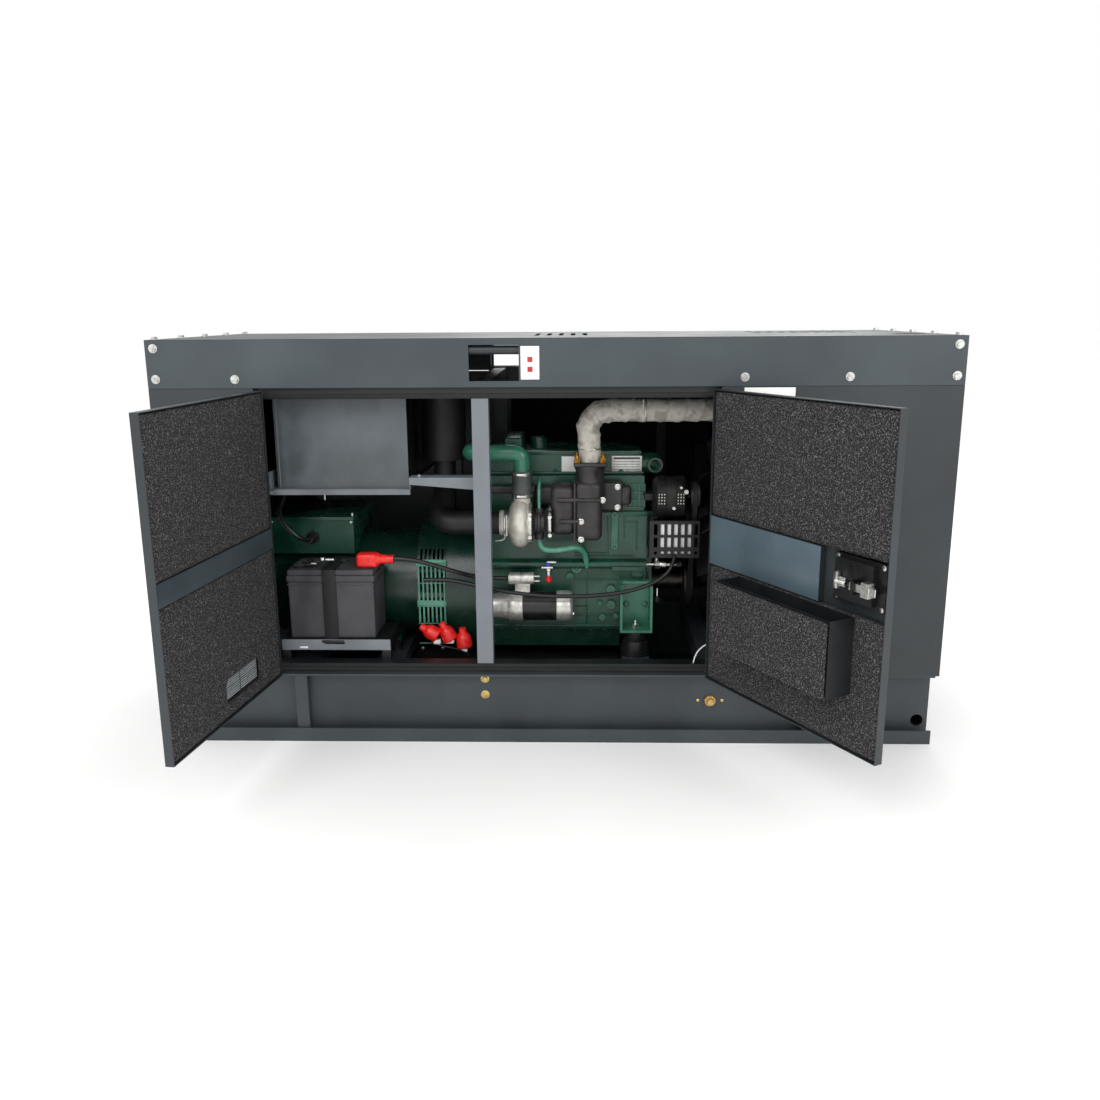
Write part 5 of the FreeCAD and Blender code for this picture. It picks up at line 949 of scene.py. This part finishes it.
modify(lagging, "SUBSURF", levels=1, render_levels=1)
fit(lagging, glass_tape, "canopy", "exhaust_pipe", "exhaust_pipe")
ties = []
for spot, turn in (((105, -205, 838), (0, 0, 0)), ((266, -205, 948), (0, math.pi / 2, 0))):
    bpy.ops.object.select_all(action="DESELECT")
    bpy.ops.mesh.primitive_torus_add(location=Vector(spot) * MM, rotation=turn,
                                     major_radius=LAGGING_RADIUS * MM, minor_radius=TIE_WIRE * MM,
                                     major_segments=40, minor_segments=8)
    ties.append(settled("tie"))
ties.append(turned("twist", "y", (262, 950), [(-238, 1.8), (-252, 1.8)], 10))
ties.append(turned("twist", "z", (258, -236), [(952, 1.8), (982, 1.4)], 10))
fit(joined("lagging_ties", *ties), zinc, "canopy", "exhaust_pipe")
# Aluminised steel: grey metal browned by heat.
aluminised = finish("aluminised steel, heat-stained", ["#7f7a70", "#9a958a"], 70, 1.4, 0.05, (0.4, 0.55),
                    {"Metallic": 0.9})
dress(aluminised, "muffler")


# ---- radiator, shroud and belt guard ----
# An aluminium core of fine fins between two tanks, a black sheet shroud with its ring round the fan,
# and a slotted guard over the belt, with a pale plate close behind the slots that paints the light seen
# through them.

# Painted fins: flat black lines 3 mm apart.
core_fins = ribbed("black-painted radiator fins", ["#141516", "#202122"], 3.0, "Z", 0.8, (0.5, 0.65))
dress(core_fins, "radiator")
# Coated sheet: even satin black.
shroud_black = finish("satin black powder coat on sheet", ["#0d0e0f", "#161718"], 90, 1.3, 0.06, (0.38, 0.5))
dress(shroud_black, "fan_shroud")
# Pale galvanised sheet, softly spangled, hardly mirror-like: painted light, standing in for the light seen
# through the guard's slots.
painted_light_backing = finish("pale galvanised sheet, painted light", ["#cfd1cf", "#e6e7e4"], 22, 1.5, 0.02, (0.4, 0.55),
                {"Metallic": 0.2})
fit(block("splash_plate", (309, -211, 520), (413, -209, 614), 0.8), painted_light_backing, "canopy", "fan_shroud")
OVERFLOW_RADIUS = 0.002
OVERFLOW_ROUTE = [(.404, -.380, .236), (.406, -.381, .250), (.414, -.382, .270), (.428, -.383, .286),
                  (.444, -.383, .295), (.456, -.378, .297), (.470, -.365, .296)]
laid(line("overflow_pipe", OVERFLOW_ROUTE, OVERFLOW_RADIUS), white_nylon, "radiator")


# ---- charge pipe and air cleaner ----
# A painted steel pipe carries the compressed air over to the intake; a ribbed silicone sleeve with two
# worm clamps joins it to the compressor. The air cleaner is an upright black canister with its hose.

CHARGE_ROUTE = [(-95, -236, 752), (-95, -236, 785), (-95, -236, 829), (-150, -236, 829), (-200, -236, 829),
                (-246, -236, 829), (-246, -180, 829), (-246, -60, 829), (-246, 100, 829), (-246, 172, 829),
                (-246, 172, 770), (-246, 172, 715)]
CHARGE_RADIUS = 24
# The charge pipe takes the lighter enamel, a painted highlight.
laid(line("charge_pipe_painted", CHARGE_ROUTE, CHARGE_RADIUS, MM), enamel_painted_highlight,
     "charge_pipe", "charge_pipe")
# Silicone hose: dull blue-grey, ribbed by its fabric.
sleeve_grey = ribbed("ribbed grey silicone hose", ["#3b403f", "#4b514f"], 4.0, "Z", 0.8, (0.5, 0.65))
SLEEVE_RINGS = [(698, 28), (704, 29), (715, 28.4), (760, 28.4), (770, 29), (776, 28)]
fit(turned("charge_sleeve", "z", CHARGE_LINE, SLEEVE_RINGS, 40), sleeve_grey, "canopy", "charge_pipe")
clamps = [turned("band", "z", CHARGE_LINE, [(z, 28), (z, 30.4), (z + 9, 30.4), (z + 9, 28)], 40)
          for z in (700, 764)]
screws = [turned("screw", "x", (-266, z), [(-108, 4.5), (-84, 4.5)], 14) for z in (705, 769)]
fit(joined("sleeve_clamps", *clamps, *screws), zinc, "canopy", "charge_pipe")
# Moulded canister: black, made deeper black as painted shade, and dulled by dust.
dusty_black_painted_shade = finish("moulded black polypropylene, dusty, painted shade", ["#070708", "#0e0e0f"], 60, 1.2, 0.05, (0.5, 0.65))
dress(dusty_black_painted_shade, "air_cleaner")


# ---- starter motor, solenoid and engine mounts ----
# The starter has a black tube between bright machined ends, with its solenoid above it. The engine
# stands on green welded brackets over black rubber blocks and coated pedestals.

# Turned aluminium: pale metal with a soft circular gleam.
machined = finish("machined cast aluminium", ["#b9b8b2", "#d6d5cf"], 12, 0.9, 0.04, (0.28, 0.42),
                  {"Metallic": 0.7})
# Stove enamel on tube: black, smooth and glossy.
black_tube = finish("black enamelled steel tube", ["#0f0f10", "#1a1a1b"], 30, 1.2, 0.05, (0.25, 0.38))
STARTER_LINE = (-210, 358)
END_RINGS = [(5, 45), (8, 46.5), (44, 46.5), (50, 43), (54, 38), (54, 16), (51, 14)]
SOLENOID_RINGS = [(-141, 14), (-139, 18.5), (-104, 18.5), (-103, 16.5), (-100, 16.5), (-99, 18.5),
                  (-64, 18.5), (-62, 12)]
fit(joined("starter_ends",
           turned("nose", "x", STARTER_LINE, [(-240, 26), (-236, 30), (-180, 38), (-142, 42)], 36),
           turned("collar", "x", STARTER_LINE, [(-142, 44), (-138, 46), (-100, 46), (-97, 44)], 44),
           turned("end", "x", STARTER_LINE, END_RINGS, 44),
           turned("solenoid", "x", (-218, 446), SOLENOID_RINGS, 32),
           block("saddle", (-121, -226, 403), (-75, -210, 432), 2)),
    machined, "canopy", "starter_motor", "starter_motor")
fit(turned("starter_tube", "x", STARTER_LINE, [(-98, 43), (-96, 44.6), (4, 44.6), (6, 43)], 44),
    black_tube, "canopy", "starter_motor")
lugs = [turned("stud", "x", (-218, z), [(-62, 3), (-46, 3)], 12) for z in (437, 452)]
THROUGH_RADIUS = 34
for angle in (0.6, 3.7):
    spot = (STARTER_LINE[0] + THROUGH_RADIUS * math.cos(angle),
            STARTER_LINE[1] + THROUGH_RADIUS * math.sin(angle))
    lugs.append(turned("stud", "x", spot, [(52, 5), (58, 5)], 6))
fit(joined("starter_studs", *lugs), zinc, "canopy", "starter_motor")
# Bright green enamel on the brackets; the rubber blocks under them are black, and the low part with the
# pedestals is darkened with painted shade.
mount_enamel_painted_shade = finish("mount enamel and rubber, painted shade", ["#2a6a54", "#357760"], 60, 2.0, 0.1, (0.24, 0.36))
dress(mount_enamel_painted_shade, "engine_mounts")
tinted(mount_enamel_painted_shade, (-900, -300, 200), (400, 300, 281.5), "#17181a")
# The bracket bolts take the lighter enamel, a painted highlight.
fit(repeated("bracket_bolts", bolt_head("y", -1, 7.5, 6), [(219, -167, 352), (275, -167, 352)]),
    enamel_painted_highlight, "canopy", "engine_mounts")
MOUNT_LINE = (245, -207)
fit(joined("mount_stud", turned("stud", "z", MOUNT_LINE, [(289, 6), (312, 6)], 16),
           turned("nut", "z", MOUNT_LINE, [(289, 11), (299, 11)], 6)), zinc, "canopy", "engine_mounts")


# ---- alternator that makes the mains supply ----
# A cast and rolled frame in the engine's green with a slotted drum next to the bell housing, and a
# pressed terminal box on top with its gland for the outlet cable.

# The alternator's frame takes the darker enamel, a painted shade.
dress(enamel_painted_shade, "generator_stator")
dress(enamel, "terminal_box")
GUARD_LEFT, BAR_PITCH, BAR_WIDE, BARS = -419, 13, 6, 7
guard_bars = [block("bar", (-421, -203, z), (-333, -199.5, z + 3), 0.8) for z in (232, 296, 359, 424, 487)]
for place in range(BARS):
    left = GUARD_LEFT + BAR_PITCH * place
    guard_bars.append(block("bar", (left, -202.6, 300), (left + BAR_WIDE, -199.8, 487), 0.8, 1))
# The guard's bars take the pale enamel, a painted highlight.
fit(joined("drum_guard", *guard_bars, block("band", (-423, -203.4, 350), (-331, -199, 371), 1.5),
           block("sill", (-423, -203, 478), (-331, -199, 500), 1.5)),
    pale_enamel_painted_highlight, "canopy", "generator_stator")
fit(repeated("guard_screws", bolt_head("y", -1, 4, 3), [(-411, -200, 216), (-349, -200, 216)]),
    zinc, "canopy", "generator_stator")
GLAND_LINE = (-741, 562)
fit(joined("gland_nut", turned("nut", "y", GLAND_LINE, [(-165, 21), (-178, 21)], 6),
           turned("boot", "y", GLAND_LINE, [(-178, 17), (-190, 16), (-204, 10), (-210, 9)], 28)),
    nylon, "canopy", "terminal_box")
fit(repeated("box_screws", turned("screw", "y", (0, 0), [(0, 5), (-2, 5), (-3.4, 3.4)], 18),
             [(-622, -165, 609), (-868, -165, 609)]), zinc, "canopy", "terminal_box")
fit(joined("box_lid", block("lid", (-877, -168, 612), (-614, 122, 625), 3)), enamel, "canopy", "terminal_box")
fit(joined("box_studs", turned("stud", "z", (-622, -150), [(624, 4), (634, 4)], 6)), zinc,
    "canopy", "terminal_box")

(low, high), (shown_low, shown_high) = cad_box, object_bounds()
